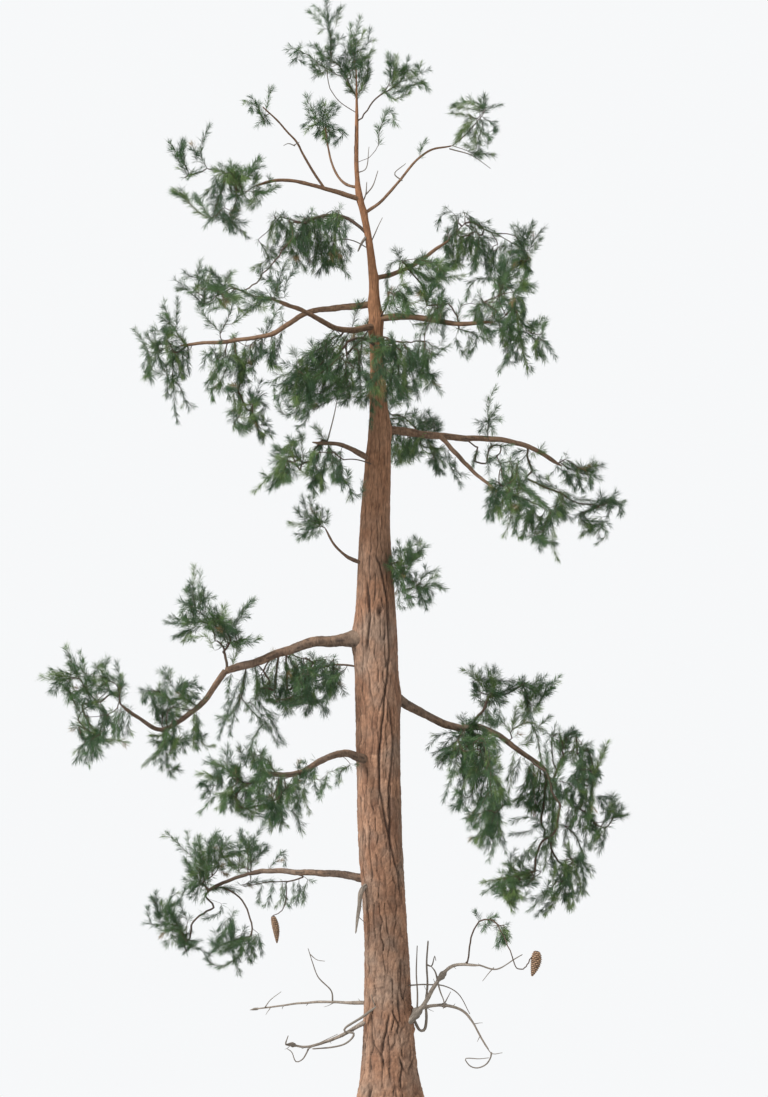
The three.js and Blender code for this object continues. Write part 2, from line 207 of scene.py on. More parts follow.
def coneMaterial(name, gap, dark, light):
    # dark gaps between scales that differ in tone
    cone = Shading(name)
    flecks = cone.add("TexNoise", "Fac", {
        "Vector": cone.add("TexCoord", "Object"), "Scale": 60.0, "Detail": 4.0})
    tone = cone.ramp(
        cone.mix(0.5, cone.painted("plateTone"), flecks, data_type="FLOAT"), (0.2, dark), (0.8, light))
    return cone.finish({"Base Color": cone.mix(cone.painted("relief"), gap, tone), "Roughness": 0.7})


greyWood = dict(
    plateDark=(0.19, 0.165, 0.14), plateLight=(0.34, 0.30, 0.26), patch=(0.24, 0.20, 0.165),
    high=(0.28, 0.24, 0.20), rise=(8.0, 16.0), grain=60.0, roughness=0.8)
trunkBark = barkMaterial(
    "trunk bark", furrow=(0.028, 0.018, 0.014), plateDark=(0.17, 0.088, 0.055),
    plateLight=(0.36, 0.205, 0.13), patch=(0.27, 0.20, 0.155), high=(0.27, 0.135, 0.07),
    rise=(9.0, 15.0), grain=24.0, roughness=0.88)
limbBark = barkMaterial(
    "limb bark", furrow=(0.03, 0.022, 0.018), plateDark=(0.11, 0.072, 0.05),
    plateLight=(0.22, 0.145, 0.10), patch=(0.19, 0.15, 0.12), high=(0.19, 0.115, 0.07),
    rise=(9.0, 16.0), grain=45.0, roughness=0.88)
deadWood = barkMaterial("dead wood", furrow=(0.06, 0.05, 0.04), **greyWood)
deadTwigBark = barkMaterial("dead twig bark", furrow=(0.16, 0.135, 0.11), **greyWood)
twigBark = barkMaterial(
    "twig bark", furrow=(0.075, 0.050, 0.035), plateDark=(0.10, 0.065, 0.04),
    plateLight=(0.18, 0.115, 0.07), patch=(0.10, 0.075, 0.055), high=(0.13, 0.085, 0.055),
    rise=(8.0, 18.0), grain=80.0, roughness=0.75)
coneScales = coneMaterial(
    "cone scales", gap=(0.05, 0.028, 0.016), dark=(0.15, 0.085, 0.045), light=(0.33, 0.20, 0.11))
print("materials made")


def addObject(name, data):
    # a new object in the scene
    added = bpy.data.objects.new(name, data)
    bpy.context.scene.collection.objects.link(added)
    return added


def addPiece(name, mesh, material):
    mesh.materials.append(material)
    piece = addObject(name, mesh)
    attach(piece, "root")
    return piece


def wrappedSkin(name, sides, rows, shapeOf, material):
    # A grid is rolled into a tube: shapeOf turns (share of a turn, share of the way) into places,
    # relief and plate tone. The seam is welded and the ends are closed.
    form = bmesh.new()
    bmesh.ops.create_grid(form, x_segments=sides, y_segments=rows, size=1.0)
    mesh = bpy.data.meshes.new(name)
    form.to_mesh(mesh)
    flat = np.zeros(len(mesh.vertices) * 3, np.float32)
    mesh.vertices.foreach_get("co", flat)
    flat = flat.reshape(-1, 3).astype(float)
    around = np.round((flat[:, 0] + 1.0) * 0.5 * sides) / sides
    along = np.round((flat[:, 1] + 1.0) * 0.5 * rows) / rows
    places, relief, tone = shapeOf(np.mod(around, 1.0), along)
    mesh.vertices.foreach_set("co", places.astype(np.float32).ravel())
    for attributeName, values in (("relief", relief), ("plateTone", tone)):
        attribute = mesh.attributes.new(attributeName, "FLOAT", "POINT")
        attribute.data.foreach_set("value", values.astype(np.float32))
    form.clear()
    form.from_mesh(mesh)
    bmesh.ops.remove_doubles(form, verts=form.verts, dist=1e-5)
    bmesh.ops.holes_fill(form, edges=form.edges, sides=0)
    bmesh.ops.recalc_face_normals(form, faces=form.faces)
    form.to_mesh(mesh)
    form.free()
    mesh.shade_smooth()
    return addPiece(name, mesh, material)


axisSizes = {"step": 0.05, "blur": 6}


def measuredAxis(node):
    # middle and radius of each level ring of the frame's trunk
    corners = np.array([vertex.co for vertex in node.data.vertices])
    levels = np.round(corners[:, 2], 2)
    rows = []
    for level in np.unique(levels):
        ring = np.unique(np.round(corners[levels == level], 4), axis=0)
        middle = ring.mean(axis=0)
        reach = np.hypot(ring[:, 0] - middle[0], ring[:, 1] - middle[1])
        rows.append((level, middle[0], middle[1], reach[reach > 0.4 * reach.max()].mean()))
    return np.array(rows)


def blurred(values, width):
    weights = np.exp(-0.5 * (np.arange(-3 * width, 3 * width + 1) / width) ** 2)
    padded = np.pad(values, 3 * width, mode="reflect", reflect_type="odd")
    return np.convolve(padded, weights / weights.sum(), mode="valid")


axisRows = measuredAxis(nodes["trunk"])
trunkTop = axisRows[-1, 0]
axisHeights = np.arange(0.0, trunkTop + axisSizes["step"], axisSizes["step"])
axisRight, axisBack, axisRadius = (
    blurred(np.interp(axisHeights, axisRows[:, 0], column), axisSizes["blur"]) for column in axisRows.T[1:])


def trunkMiddle(height):
    right = np.interp(height, axisHeights, axisRight)
    return np.stack([right, np.interp(height, axisHeights, axisBack), height], -1)


def trunkRadius(height):
    return np.interp(height, axisHeights, axisRadius)


trunkSizes = {
    "sides": 160, "rowStep": 0.0215, "rowStepGrowth": 0.0034, "fineBelow": 5.0,
    "columns": 17, "plateTall": 0.40, "plateTallTop": 0.12, "flakesAcross": 3, "flakesUp": 4.5,
    "furrowDepth": 0.036, "furrowDepthTop": 0.004, "furrowWidth": 0.30, "winding": 0.016, "leaning": 0.02,
    "plateStep": 0.30, "flakeStep": 0.26, "flakeEdge": 0.12, "flakeWidth": 0.22, "grain": 0.10,
    "flareHeight": 1.5, "flareSpread": 0.2, "buttresses": 5, "uneven": 0.03, "tipTaper": 1.1,
    "seamWidth": 0.018, "seamDepth": 0.036, "seamDark": 0.9, "seamWinding": 0.03,
    "seamRim": 0.012, "rimAside": 0.048, "rimWidth": 0.024,
    "knotDepth": 0.036, "knotDark": 0.85, "knotRing": 0.030, "knotRingAt": 0.85,
    "swellSpread": 1.9, "swell": 0.7, "ridge": 0.22,
}
# Winding seams on the drawn side: height and share of the half width from the middle, in turn
trunkSeams = [
    [10.75,-0.05, 10.55,0.33, 9.95,0.62, 8.9,0.62, 8.1,0.32, 7.05,0.0, 6.5,0.0, 5.6,0.39, 5.0,0.66, 4.5,0.75],
    [8.05,0.56, 7.4,0.68, 6.5,0.42, 5.6,0.42], [10.3,-0.45, 9.6,-0.25, 8.9,-0.45],
    [2.5,-0.72, 1.95,-0.6, 1.75,-0.26, 1.45,-0.14], [2.55,0.14, 2.3,-0.02, 2.05,-0.17, 1.75,-0.24],
    [2.6,0.1, 2.45,0.3, 2.2,0.55], [1.8,0.38, 1.6,0.48, 1.38,0.66], [2.1,0.96, 1.76,0.92, 1.38,0.68],
    [1.3,-0.5, 1.0,-0.62, 0.6,-0.5], [1.25,0.2, 0.8,0.3, 0.4,0.2],
]
# Knots: height, share of a turn, and half sizes
trunkKnots = [
    dict(height=9.7, turn=0.785, tall=0.17, wide=0.085),
    dict(height=2.36, turn=0.97, tall=0.2, wide=0.16),
    dict(height=7.2, turn=0.58, tall=0.15, wide=0.09),
    dict(height=5.9, turn=0.12, tall=0.16, wide=0.1),
    dict(height=10.9, turn=0.3, tall=0.12, wide=0.08),
    dict(height=3.6, turn=0.4, tall=0.13, wide=0.1),
]


def trunkRowHeights():
    heights = [0.0]
    while heights[-1] < trunkTop:
        grown = max(0.0, heights[-1] - trunkSizes["fineBelow"])
        heights.append(heights[-1] + trunkSizes["rowStep"] + trunkSizes["rowStepGrowth"] * grown)
    return np.array(heights) * trunkTop / heights[-1]


def platesBelow(heights):
    # how many plates lie below each height, as they grow smaller towards the top
    levels = np.linspace(0.0, trunkTop, 400)
    tall = np.interp(levels, [0.0, trunkTop], [trunkSizes["plateTall"], trunkSizes["plateTallTop"]])
    return np.interp(heights, levels, np.concatenate([[0.0], np.cumsum(np.diff(levels) / tall[1:])]))


def turnedAside(turn, otherTurn):
    return np.angle(np.exp(1j * (turn - otherTurn)))


def trunkShape(around, along):
    sizes = trunkSizes
    rowHeights = trunkRowHeights()
    heights = np.interp(along, np.linspace(0.0, 1.0, len(rowHeights)), rowHeights)
    turn = around * fullTurn
    outward = np.stack([np.cos(turn), np.sin(turn), np.zeros(len(turn))], -1)
    flare = np.clip(1.0 - heights / sizes["flareHeight"], 0.0, 1.0)
    ribs = np.cos(sizes["buttresses"] * turn + 0.6) + 0.35 * np.cos(3 * turn + 1.4)
    uneven = sizes["uneven"] * np.cos(3 * turn + heights / 1.8)
    radius = trunkRadius(heights) * (0.45 + 0.55 * smoothStep(0.0, sizes["tipTaper"], trunkTop - heights))
    reach = radius * (1.0 + sizes["flareSpread"] * flare * ribs + uneven)
    wall = trunkMiddle(heights) + outward * reach[:, None]
    upward = platesBelow(heights)

    def tallNoise(flattened, size, seed):
        return softNoise(wall * [1.0, 1.0, flattened], size, seed)

    warp, warpUp, lean = tallNoise(0.55, 0.12, 3), tallNoise(0.6, 0.16, 5), tallNoise(0.5, 0.7, 7)
    edge, tone, upright, strength = barkPlates(
        np.mod(around + (sizes["winding"] * warp + sizes["leaning"] * lean), 1.0), upward + 0.5 * warpUp,
        sizes["columns"], 11)
    fineEdge, fineTone = barkPlates(
        np.mod(around + 0.008 * warpUp, 1.0), upward * sizes["flakesUp"] + 0.6 * warp,
        sizes["columns"] * sizes["flakesAcross"], 29)[:2]
    # long furrows run upwards, and the cracks across a plate are short and shallow
    cutting = (0.30 + 0.70 * smoothStep(0.3, 0.6, upright)) * (0.55 + 0.45 * strength)
    plate = smoothStep(0.0, 1.0, edge / (sizes["furrowWidth"] * (0.35 + 0.65 * cutting)))
    finePlate = smoothStep(0.0, sizes["flakeWidth"], fineEdge)
    depth = np.interp(heights, [0.0, 6.0, 11.0, trunkTop], [
        sizes["furrowDepth"] * 1.2, sizes["furrowDepth"], sizes["furrowDepth"] * 0.45,
        sizes["furrowDepthTop"]])
    offset = -depth * cutting * (1.0 - plate) + depth * sizes["plateStep"] * (tone - 0.5)
    offset += depth * plate * (
        sizes["flakeStep"] * (fineTone - 0.5) - sizes["flakeEdge"] * (1.0 - finePlate))
    offset += sizes["grain"] * depth * tallNoise(0.35, 0.035, 17)
    relief = (1.0 - cutting * (1.0 - plate)) * (0.74 + 0.26 * finePlate)
    for seam in trunkSeams:
        seamHeights, seamShares = np.array(seam[::2])[::-1], np.array(seam[1::2])[::-1]
        share = np.interp(heights, seamHeights, seamShares) + sizes["seamWinding"] * warp
        seamTurn = -0.5 * math.pi + np.arcsin(np.clip(share, -0.97, 0.97))
        aside = np.abs(turnedAside(turn, seamTurn)) * radius
        within = smoothStep(seamHeights.min() - 0.05, seamHeights.min() + 0.2, heights) * (
            1.0 - smoothStep(seamHeights.max() - 0.2, seamHeights.max() + 0.05, heights))
        cut = bell(aside, sizes["seamWidth"]) * within
        rim = sizes["seamRim"] * bell(aside - sizes["rimAside"], sizes["rimWidth"]) * within
        offset += -sizes["seamDepth"] * cut + rim
        relief *= 1.0 - sizes["seamDark"] * cut
    for knot in trunkKnots:
        aside = turnedAside(turn, knot["turn"] * fullTurn) * radius / knot["wide"]
        distance = np.hypot(aside, (heights - knot["height"]) / knot["tall"])
        ring = sizes["knotRing"] * bell(distance - sizes["knotRingAt"], 0.30)
        offset += ring - sizes["knotDepth"] * bell(distance, 0.45)
        relief *= 1.0 - sizes["knotDark"] * bell(distance, 0.42)
    # the wall swells where a limb leaves it, with a ridge that runs down below the limb
    for name, limb in limbs.items():
        if "parent" in limb:
            continue
        line = limbLines[name]
        reached = np.hypot(line[:, 0] - line[0, 0], line[:, 1] - line[0, 1])
        leaving = line[6] - line[0]
        aside = turnedAside(turn, math.atan2(leaving[1], leaving[0])) * radius
        above = heights - np.interp(trunkRadius(limb["height"]), reached, line[:, 2])
        spread = limb["thick"] * sizes["swellSpread"]
        offset += limb["thick"] * sizes["swell"] * bell(np.hypot(aside, above * 0.65), spread)
        below = bell(above + 3.0 * spread, 2.6 * spread)
        offset += limb["thick"] * sizes["ridge"] * below * bell(aside, 0.6 * spread)
    places = wall + outward * offset[:, None]
    places[:, 2] = heights
    return places, relief, 0.65 * tone + 0.35 * fineTone


# The limbs: the same starts, bends and tips as their frame nodes, in metres. Bends are shares of the
# way and rises above it, in turn
limbs = {
    "top_left": dict(height=17.12, thick=0.048, thin=0.026,
        tip=(-2.39, -0.7, 17.3), bends=[0.37,0.11, 0.79,0.14]),
    "top_left_fork": dict(parent="top_left", along=0.36, thick=0.026, thin=0.014,
        tip=(-2.25, -1.08, 18.68), bends=[0.65,0.14]),
    "top_rising": dict(height=17.33, thick=0.028, thin=0.014,
        tip=(-1.155, 0.65, 18.5), bends=[0.4,-0.37, 0.85,-0.45]),
    "top_right": dict(height=16.85, thick=0.032, thin=0.016,
        tip=(1.155, 0.85, 18.16), bends=[0.2,-0.02, 0.7,0.26]),
    "high_back_right": dict(height=15.68, thick=0.048, thin=0.03,
        tip=(1.1, 1.65, 16.5), bends=[0.5,-0.12]),
    "high_right": dict(height=14.98, thick=0.066, thin=0.036,
        tip=(1.83, -0.95, 14.85), bends=[0.3,0.04, 0.7,-0.03]),
    "high_front_left": dict(height=14.83, thick=0.062, thin=0.034,
        tip=(-2.08, -1.9, 15.22), bends=[0.35,-0.23, 0.65,-0.09]),
    "high_left": dict(height=15.23, thick=0.064, thin=0.03,
        tip=(-3.83, 1.45, 14.55), bends=[0.36,0.1, 0.52,-0.14]),
    "short_left": dict(height=12.35, thick=0.056, thin=0.03,
        tip=(-1.37, -1.1, 12.72), bends=[0.42,0.12]),
    "upper_right": dict(height=13.0, thick=0.08, thin=0.036,
        tip=(3.175, 1.4, 12.34), bends=[0.33,0.07, 0.78,0.25]),
    "upper_right_fork": dict(parent="upper_right", along=0.32, thick=0.048, thin=0.026,
        tip=(1.965, -1.25, 11.79), bends=[0.45,-0.06]),
    "spur_left": dict(height=10.48, thick=0.036, thin=0.018,
        tip=(-1.145, -0.52, 11.2), bends=[0.45,-0.17, 0.8,-0.18]),
    "long_left": dict(height=9.18, thick=0.118, thin=0.064,
        tip=(-2.91, -1.1, 8.655), bends=[0.2,0.12, 0.43,0.19, 0.84,0.04]),
    "long_left_outer": dict(parent="long_left", along=1.0, thick=0.06, thin=0.03,
        tip=(-4.74, -2.0, 8.115), bends=[0.26,-0.49, 0.6,-0.7, 0.83,-0.35]),
    "low_front_left": dict(height=6.97, thick=0.08, thin=0.04,
        tip=(-2.22, -2.5, 6.89), bends=[0.37,0.23, 0.68,-0.02]),
    "low_back_left": dict(height=4.81, thick=0.082, thin=0.042,
        tip=(-2.55, 2.6, 4.83), bends=[0.33,0.08, 0.7,0.06]),
    "long_right": dict(height=8.39, thick=0.094, thin=0.04,
        tip=(2.945, 1.4, 6.74), bends=[0.18,-0.09, 0.34,-0.12, 0.46,-0.05, 0.6,0.17]),
    "dead_right": dict(height=1.92, thick=0.054, thin=0.024, dead=True,
        tip=(1.635, -1.05, 3.43), bends=[0.27,0.08, 0.58,0.43, 0.68,0.43]),
    "dead_droop": dict(height=2.3, thick=0.042, thin=0.014, dead=True,
        tip=(1.79, -0.5, 1.85), bends=[0.46,0.54, 0.74,0.57]),
    "dead_left": dict(height=2.6, thick=0.046, thin=0.018, dead=True,
        tip=(-1.82, -0.7, 1.99), bends=[0.3,-0.16, 0.78,-0.21]),
    "broken": dict(height=4.78, thick=0.046, thin=0.026, dead=True,
        tip=(-0.6, -0.38, 3.93), bends=[0.72,0.56]),
    "dead_back_left": dict(height=2.66, thick=0.036, thin=0.012, dead=True,
        tip=(-2.53, 0.9, 2.43), bends=[0.5,0.07]),
}
limbSizes = {
    "sides": 16, "rowStep": 0.03, "lineStep": 0.05, "crooked": 0.028, "crookedSize": 0.34,
    "collar": 0.75, "collarLength": 0.16, "taper": 0.85, "taperLength": 0.5, "tipRadius": 0.011,
    "columns": 7, "plateTall": 0.17, "furrow": 0.009, "deadFurrow": 0.002, "furrowWidth": 0.34,
    "furrowLimit": 0.2, "winding": 0.04, "lumps": 0.10, "lumpSize": 0.14, "fineLumps": 0.05,
    "fineLumpSize": 0.035, "endLength": 0.02,
}


def throughPoints(points, perSpan=24):
    # centripetal curve through the points, as in the frame
    points = np.array(points, dtype=float)
    ends = np.vstack([2 * points[0] - points[1], points, 2 * points[-1] - points[-2]])
    result = [points[0]]
    for index in range(1, len(ends) - 2):
        p0, p1, p2, p3 = ends[index - 1:index + 3]
        t1 = max(np.linalg.norm(p1 - p0) ** 0.5, 1e-4)
        t2 = t1 + max(np.linalg.norm(p2 - p1) ** 0.5, 1e-4)
        t3 = t2 + max(np.linalg.norm(p3 - p2) ** 0.5, 1e-4)
        for t in np.linspace(t1, t2, perSpan + 1)[1:]:
            a1 = (t1 - t) / t1 * p0 + t / t1 * p1
            a2 = (t2 - t) / (t2 - t1) * p1 + (t - t1) / (t2 - t1) * p2
            a3 = (t3 - t) / (t3 - t2) * p2 + (t - t2) / (t3 - t2) * p3
            b1 = (t2 - t) / t2 * a1 + t / t2 * a2
            b2 = (t3 - t) / (t3 - t1) * a2 + (t - t1) / (t3 - t1) * a3
            result.append((t2 - t) / (t2 - t1) * b1 + (t - t1) / (t2 - t1) * b2)
    return np.array(result)


def lengthsAlong(line):
    return np.concatenate([[0.0], np.cumsum(np.linalg.norm(np.diff(line, axis=0), axis=1))])


def placesAlong(line, lengths, wanted):
    return np.stack([np.interp(wanted, lengths, values) for values in line.T], -1)


def evenly(line, step):
    lengths = lengthsAlong(line)
    wanted = np.linspace(0.0, lengths[-1], max(3, int(lengths[-1] / step) + 1))
    return placesAlong(line, lengths, wanted)


limbLines = {}
for index, (name, limb) in enumerate(limbs.items()):
    if "parent" in limb:
        parentLine = limbLines[limb["parent"]]
        start = parentLine[int(round(limb["along"] * (len(parentLine) - 1)))]
    else:
        start = trunkMiddle(limb["height"])
    tip = np.array(limb["tip"])
    bends = [start + (tip - start) * share + up * rise for share, rise in pairs(limb["bends"])]
    line = evenly(throughPoints([start, *bends, tip]), limbSizes["lineStep"])
    # a limb is never quite straight, but its two ends stay where they are
    sway = np.sin(np.linspace(0.0, math.pi, len(line)))[:, None] ** 0.5
    seeds = 40 + index + np.array([0, 100, 200])
    shake = np.stack([softNoise(line, limbSizes["crookedSize"], seed) for seed in seeds], -1)
    limbLines[name] = line + shake * sway * limbSizes["crooked"]


def sweptShape(line, radii, depth, seed):
    # the shape of a limb for wrappedSkin
    along = unit(np.gradient(line, axis=0))
    across = unit(np.cross(up, along) + 1e-6)
    upward = np.cross(along, across)
    lengths = lengthsAlong(line)

    def shape(around, share):
        wanted = share * lengths[-1]
        middle = placesAlong(line, lengths, wanted)
        side = unit(placesAlong(across, lengths, wanted))
        top = unit(placesAlong(upward, lengths, wanted))
        radius = np.interp(wanted, lengths, radii)
        turn = around * fullTurn
        outward = side * np.cos(turn)[:, None] + top * np.sin(turn)[:, None]
        wall = middle + outward * radius[:, None]
        warp = softNoise(wall, 0.09, seed)
        edge, tone, upright, strength = barkPlates(
            np.mod(around + limbSizes["winding"] * warp, 1.0), wanted / limbSizes["plateTall"] + 0.4 * warp,
            limbSizes["columns"], seed)
        cutting = (0.3 + 0.7 * smoothStep(0.3, 0.6, upright)) * (0.5 + 0.5 * strength)
        plate = smoothStep(0.0, limbSizes["furrowWidth"], edge)
        lumps = (softNoise(wall, limbSizes["lumpSize"], seed + 1) * limbSizes["lumps"]
                 + softNoise(wall, limbSizes["fineLumpSize"], seed + 2) * limbSizes["fineLumps"])
        cut = np.minimum(depth, radius * limbSizes["furrowLimit"])
        offset = radius * lumps - cut * cutting * (1.0 - plate)
        # both ends close down to a small round
        ending = np.sqrt(np.clip((1.0 - share) * lengths[-1] / limbSizes["endLength"], 0.05, 1.0))
        places = middle + outward * ((radius + offset) * ending)[:, None]
        return places, 1.0 - cutting * (1.0 - plate), tone

    return shape


for index, (name, limb) in enumerate(limbs.items()):
    line, dead = limbLines[name], limb.get("dead", False)
    lengths = lengthsAlong(line)
    radii = limb["thick"] + (limb["thin"] - limb["thick"]) * (lengths / lengths[-1]) ** limbSizes["taper"]
    if "parent" not in limb:
        fromTrunk = np.linalg.norm(line - line[0], axis=1) - trunkRadius(limb["height"])
        radii *= 1.0 + limbSizes["collar"] * np.exp(-np.clip(fromTrunk, 0.0, 9.0) / limbSizes["collarLength"])
    if name != "long_left":
        # the last stretch thins out to the twig that goes on from it
        left = np.clip((lengths[-1] - lengths) / limbSizes["taperLength"], 0.0, 1.0)
        radii = np.minimum(radii, limbSizes["tipRadius"] + (limb["thick"] - limbSizes["tipRadius"]) * left)
    limb["radii"] = radii
    furrow = limbSizes["deadFurrow" if dead else "furrow"]
    piece = wrappedSkin(
        "limb_" + name, limbSizes["sides"], int(lengths[-1] / limbSizes["rowStep"]),
        sweptShape(line, radii, furrow, 200 + 10 * index), deadWood if dead else limbBark)
    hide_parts("bough_" + name)
print("limbs made,", len(limbs))

trunk = wrappedSkin(
    "trunk_bark", trunkSizes["sides"], len(trunkRowHeights()) - 1, trunkShape, trunkBark)
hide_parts("trunk")
print("trunk made,", len(trunk.data.polygons), "faces")

# Growth: every twig starts on a limb, on the trunk or on an earlier twig. The lists hold the places,
# directions, parents and carrying radius of everything that can carry a twig
random = np.random.default_rng(17)
growthRoom = 90000
grown = {"count": 0, "place": np.zeros((growthRoom, 3)), "way": np.zeros((growthRoom, 3)),
         "parent": np.full(growthRoom, -1), "carrier": np.zeros(growthRoom), "load": np.ones(growthRoom)}
tufts = []
twigSizes = {
    # what can carry a twig: limbs this far outside the trunk, and the thin top of the trunk
    "outside": 0.1, "leaderFrom": 16.0, "leaderStep": 0.12, "around": 0.45, "depthAround": 0.7,
    # every twig, and the radii from which it has six or four sides
    "step": 0.09, "least": 0.03, "acute": 0.75, "stiffness": 0.55, "wander": 0.014, "shake": 0.005,
    "tipRadius": 0.0027, "growth": 0.46, "footSwell": 1.15, "ofCarrier": 0.9,
    "sixSided": 0.011, "fourSided": 0.005,
    # drawn strokes and the short side shoots on them
    "joinPixels": 30.0, "joinStiffness": 0.35, "lean": 0.7, "leanChange": 0.3, "bow": 0.13,
    "sideShare": 0.36, "sideReach": (0.08, 0.17), "brush": 0.2, "sideBrush": 0.12, "brushBeyond": 0.04,
    # the drawn shoots again at other depths
    "echoesPerMetre": 1.15, "echoTries": 4, "echoTurn": 1.4, "echoSize": (0.7, 1.05), "echoShift": 0.07,
    "echoMargin": -0.06,
    # clumps of tufts: how far they reach aside and up, how many there are and how far apart
    "clumpReach": (0.28, 0.22), "hangReach": (0.2, 0.28), "clumpSize": (0.85, 1.2), "hangShare": 0.8,
    "clumpsPerVolume": 2.2, "clumpsNear": 0.2, "nearStep": 0.08, "clumpMargin": 0.12, "clumpTries": 14,
    "clumpRise": 0.35, "hangFall": 0.5, "tuftRise": 0.65, "tuftFall": 0.8, "tuftDrop": 0.35,
    "tuftsEach": 6, "tuftApart": 0.12, "tuftMargin": 0.05, "tuftTries": 7,
    "spurShare": 0.7, "spurReach": (0.1, 0.2),
    # limbs that a cluster hides
    "hiddenStep": 0.1, "hiddenArch": 0.12,
}


def addGrowth(place, way, parent, carrier=0.0):
    index = grown["count"]
    for part, value in (("place", place), ("way", way), ("parent", parent), ("carrier", carrier)):
        grown[part][index] = value
    grown["count"] = index + 1
    return index


def reachFor(target, tipWay, near, stiffness=twigSizes["stiffness"]):
    # grows one curved twig to the target from the best place among the growth that is near
    places, ways = grown["place"][near], grown["way"][near]
    towards = target - places
    distance = np.linalg.norm(towards, axis=1)
    turn = (towards * ways).sum(axis=1) / np.maximum(distance, 1e-6)
    best = int(np.argmin(distance * (1.0 + twigSizes["acute"] * (1.0 - turn))))
    start, reach = places[best], distance[best]
    if reach < twigSizes["least"]:
        return near[best], []
    leave = unit(ways[best] * stiffness + towards[best] / reach * (1.0 - stiffness)) * reach
    arrive = tipWay * reach * 0.6
    count = max(1, int(math.ceil(reach / twigSizes["step"])))
    parent, added = near[best], []
    for index in range(1, count + 1):
        t = index / count
        place = ((2 * t ** 3 - 3 * t ** 2 + 1) * start + (t ** 3 - 2 * t ** 2 + t) * leave
                 + (3 * t ** 2 - 2 * t ** 3) * target + (t ** 3 - t ** 2) * arrive)
        if index < count:
            place = place + random.normal(0.0, twigSizes["wander"] * min(1.0, reach), 3)
        parent = addGrowth(place, unit(place - grown["place"][parent]), parent)
        added.append(parent)
    return near[best], added


def growTuft(target, tipWay, near, kind, brush=twigSizes["brush"]):
    # a twig to the target with a tuft of needles at its end
    twig = reachFor(target, tipWay, near)[1]
    if twig:
        tufts.append({"end": twig[-1], "kind": kind, "brush": brush})
    return twig


def growAlong(points, near, needled, step=twigSizes["step"]):
    # A shoot along the given points, joined to the growth that is near and then part of it. A long
    # one with needles has short side shoots
    line = evenly(throughPoints(points, 8), step)
    source, added = reachFor(line[0], unit(line[1] - line[0]), near, twigSizes["joinStiffness"])
    parent = added[-1] if added else source
    for place in line[1:]:
        place = place + random.normal(0.0, twigSizes["shake"], 3)
        parent = addGrowth(place, unit(place - grown["place"][parent]), parent)
        added.append(parent)
    near += added
    if not needled:
        return
    brush = lengthsAlong(line)[-1] + twigSizes["brushBeyond"]
    tufts.append({"end": added[-1], "kind": "shoot", "brush": brush})
    for index in added[1:-1]:
        if random.random() < twigSizes["sideShare"]:
            way = grown["way"][index]
            aside = unit(np.cross(way, random.normal(size=3)))
            reach = (way * 0.8 + aside * 0.6) * random.uniform(*twigSizes["sideReach"])
            target = grown["place"][index] + reach
            growTuft(target, unit(way + aside * 0.3), [index], "side", twigSizes["sideBrush"])


def spreadOut(count, tries, draw, fits, apart=-1.0):
    # places that keep well apart: the best of several tries each time
    found = []
    for index in range(count):
        best, bestGap = None, apart
        for attempt in range(tries):
            place = draw()
            if fits(place) < 0.0:
                continue
            gap = min((np.linalg.norm(place - other) for other in found), default=9.0)
            if gap > bestGap:
                best, bestGap = place, gap
        if best is not None:
            found.append(best)
    return found


def growClump(centre, way, near, spread, hanging, fits):
    # one twig to the centre and a small crown of tufts round it
    kind, rise, drop = "plain", twigSizes["tuftRise"], 0.0
    if hanging:
        kind, rise, drop = "hanging", -twigSizes["tuftFall"], spread[2] * twigSizes["tuftDrop"]
    source, added = reachFor(centre, way, near)
    for index in added[3:-1:3]:
        # short side shoots keep a long twig from being bare
        if random.random() < twigSizes["spurShare"]:
            aside = unit(np.cross(grown["way"][index], random.normal(size=3)))
            target = grown["place"][index] + aside * random.uniform(*twigSizes["spurReach"]) + up * 0.04
            growTuft(target, unit(aside + up * 0.5), [index], "plain")
    targets = spreadOut(
        twigSizes["tuftsEach"], twigSizes["tuftTries"],
        lambda: centre + unit(random.normal(size=3)) * random.random() ** 0.4 * spread - up * drop,
        fits, twigSizes["tuftApart"])
    clumpNear = [source] + added
    for target in sorted(targets, key=lambda place: np.linalg.norm(place - centre)):
        tipWay = unit(unit(target - centre) * 0.6 + way * 0.25 + rise * up)
        clumpNear += growTuft(target, tipWay, clumpNear, kind)
    near += [index for index in clumpNear if index not in near]


# The drawing: its middle in pixels, the size of a pixel in metres and where its middle lies
drawing = {"right": 384.0, "down": 548.5, "pixel": 0.018, "aside": -0.09, "height": 10.827, "away": 80.0}


def fromDrawing(right, down, back):
    # the place that lies at a depth behind a place of the drawing
    size = drawing["pixel"] * (1.0 + back / drawing["away"])
    return np.array([drawing["aside"] + (right - drawing["right"]) * size, back,
                     drawing["height"] + (drawing["down"] - down) * size])


def inDrawing(places):
    size = drawing["pixel"] * (1.0 + places[:, 1] / drawing["away"])
    return np.stack([drawing["right"] + (places[:, 0] - drawing["aside"]) / size,
                     drawing["down"] - (places[:, 2] - drawing["height"]) / size], -1)


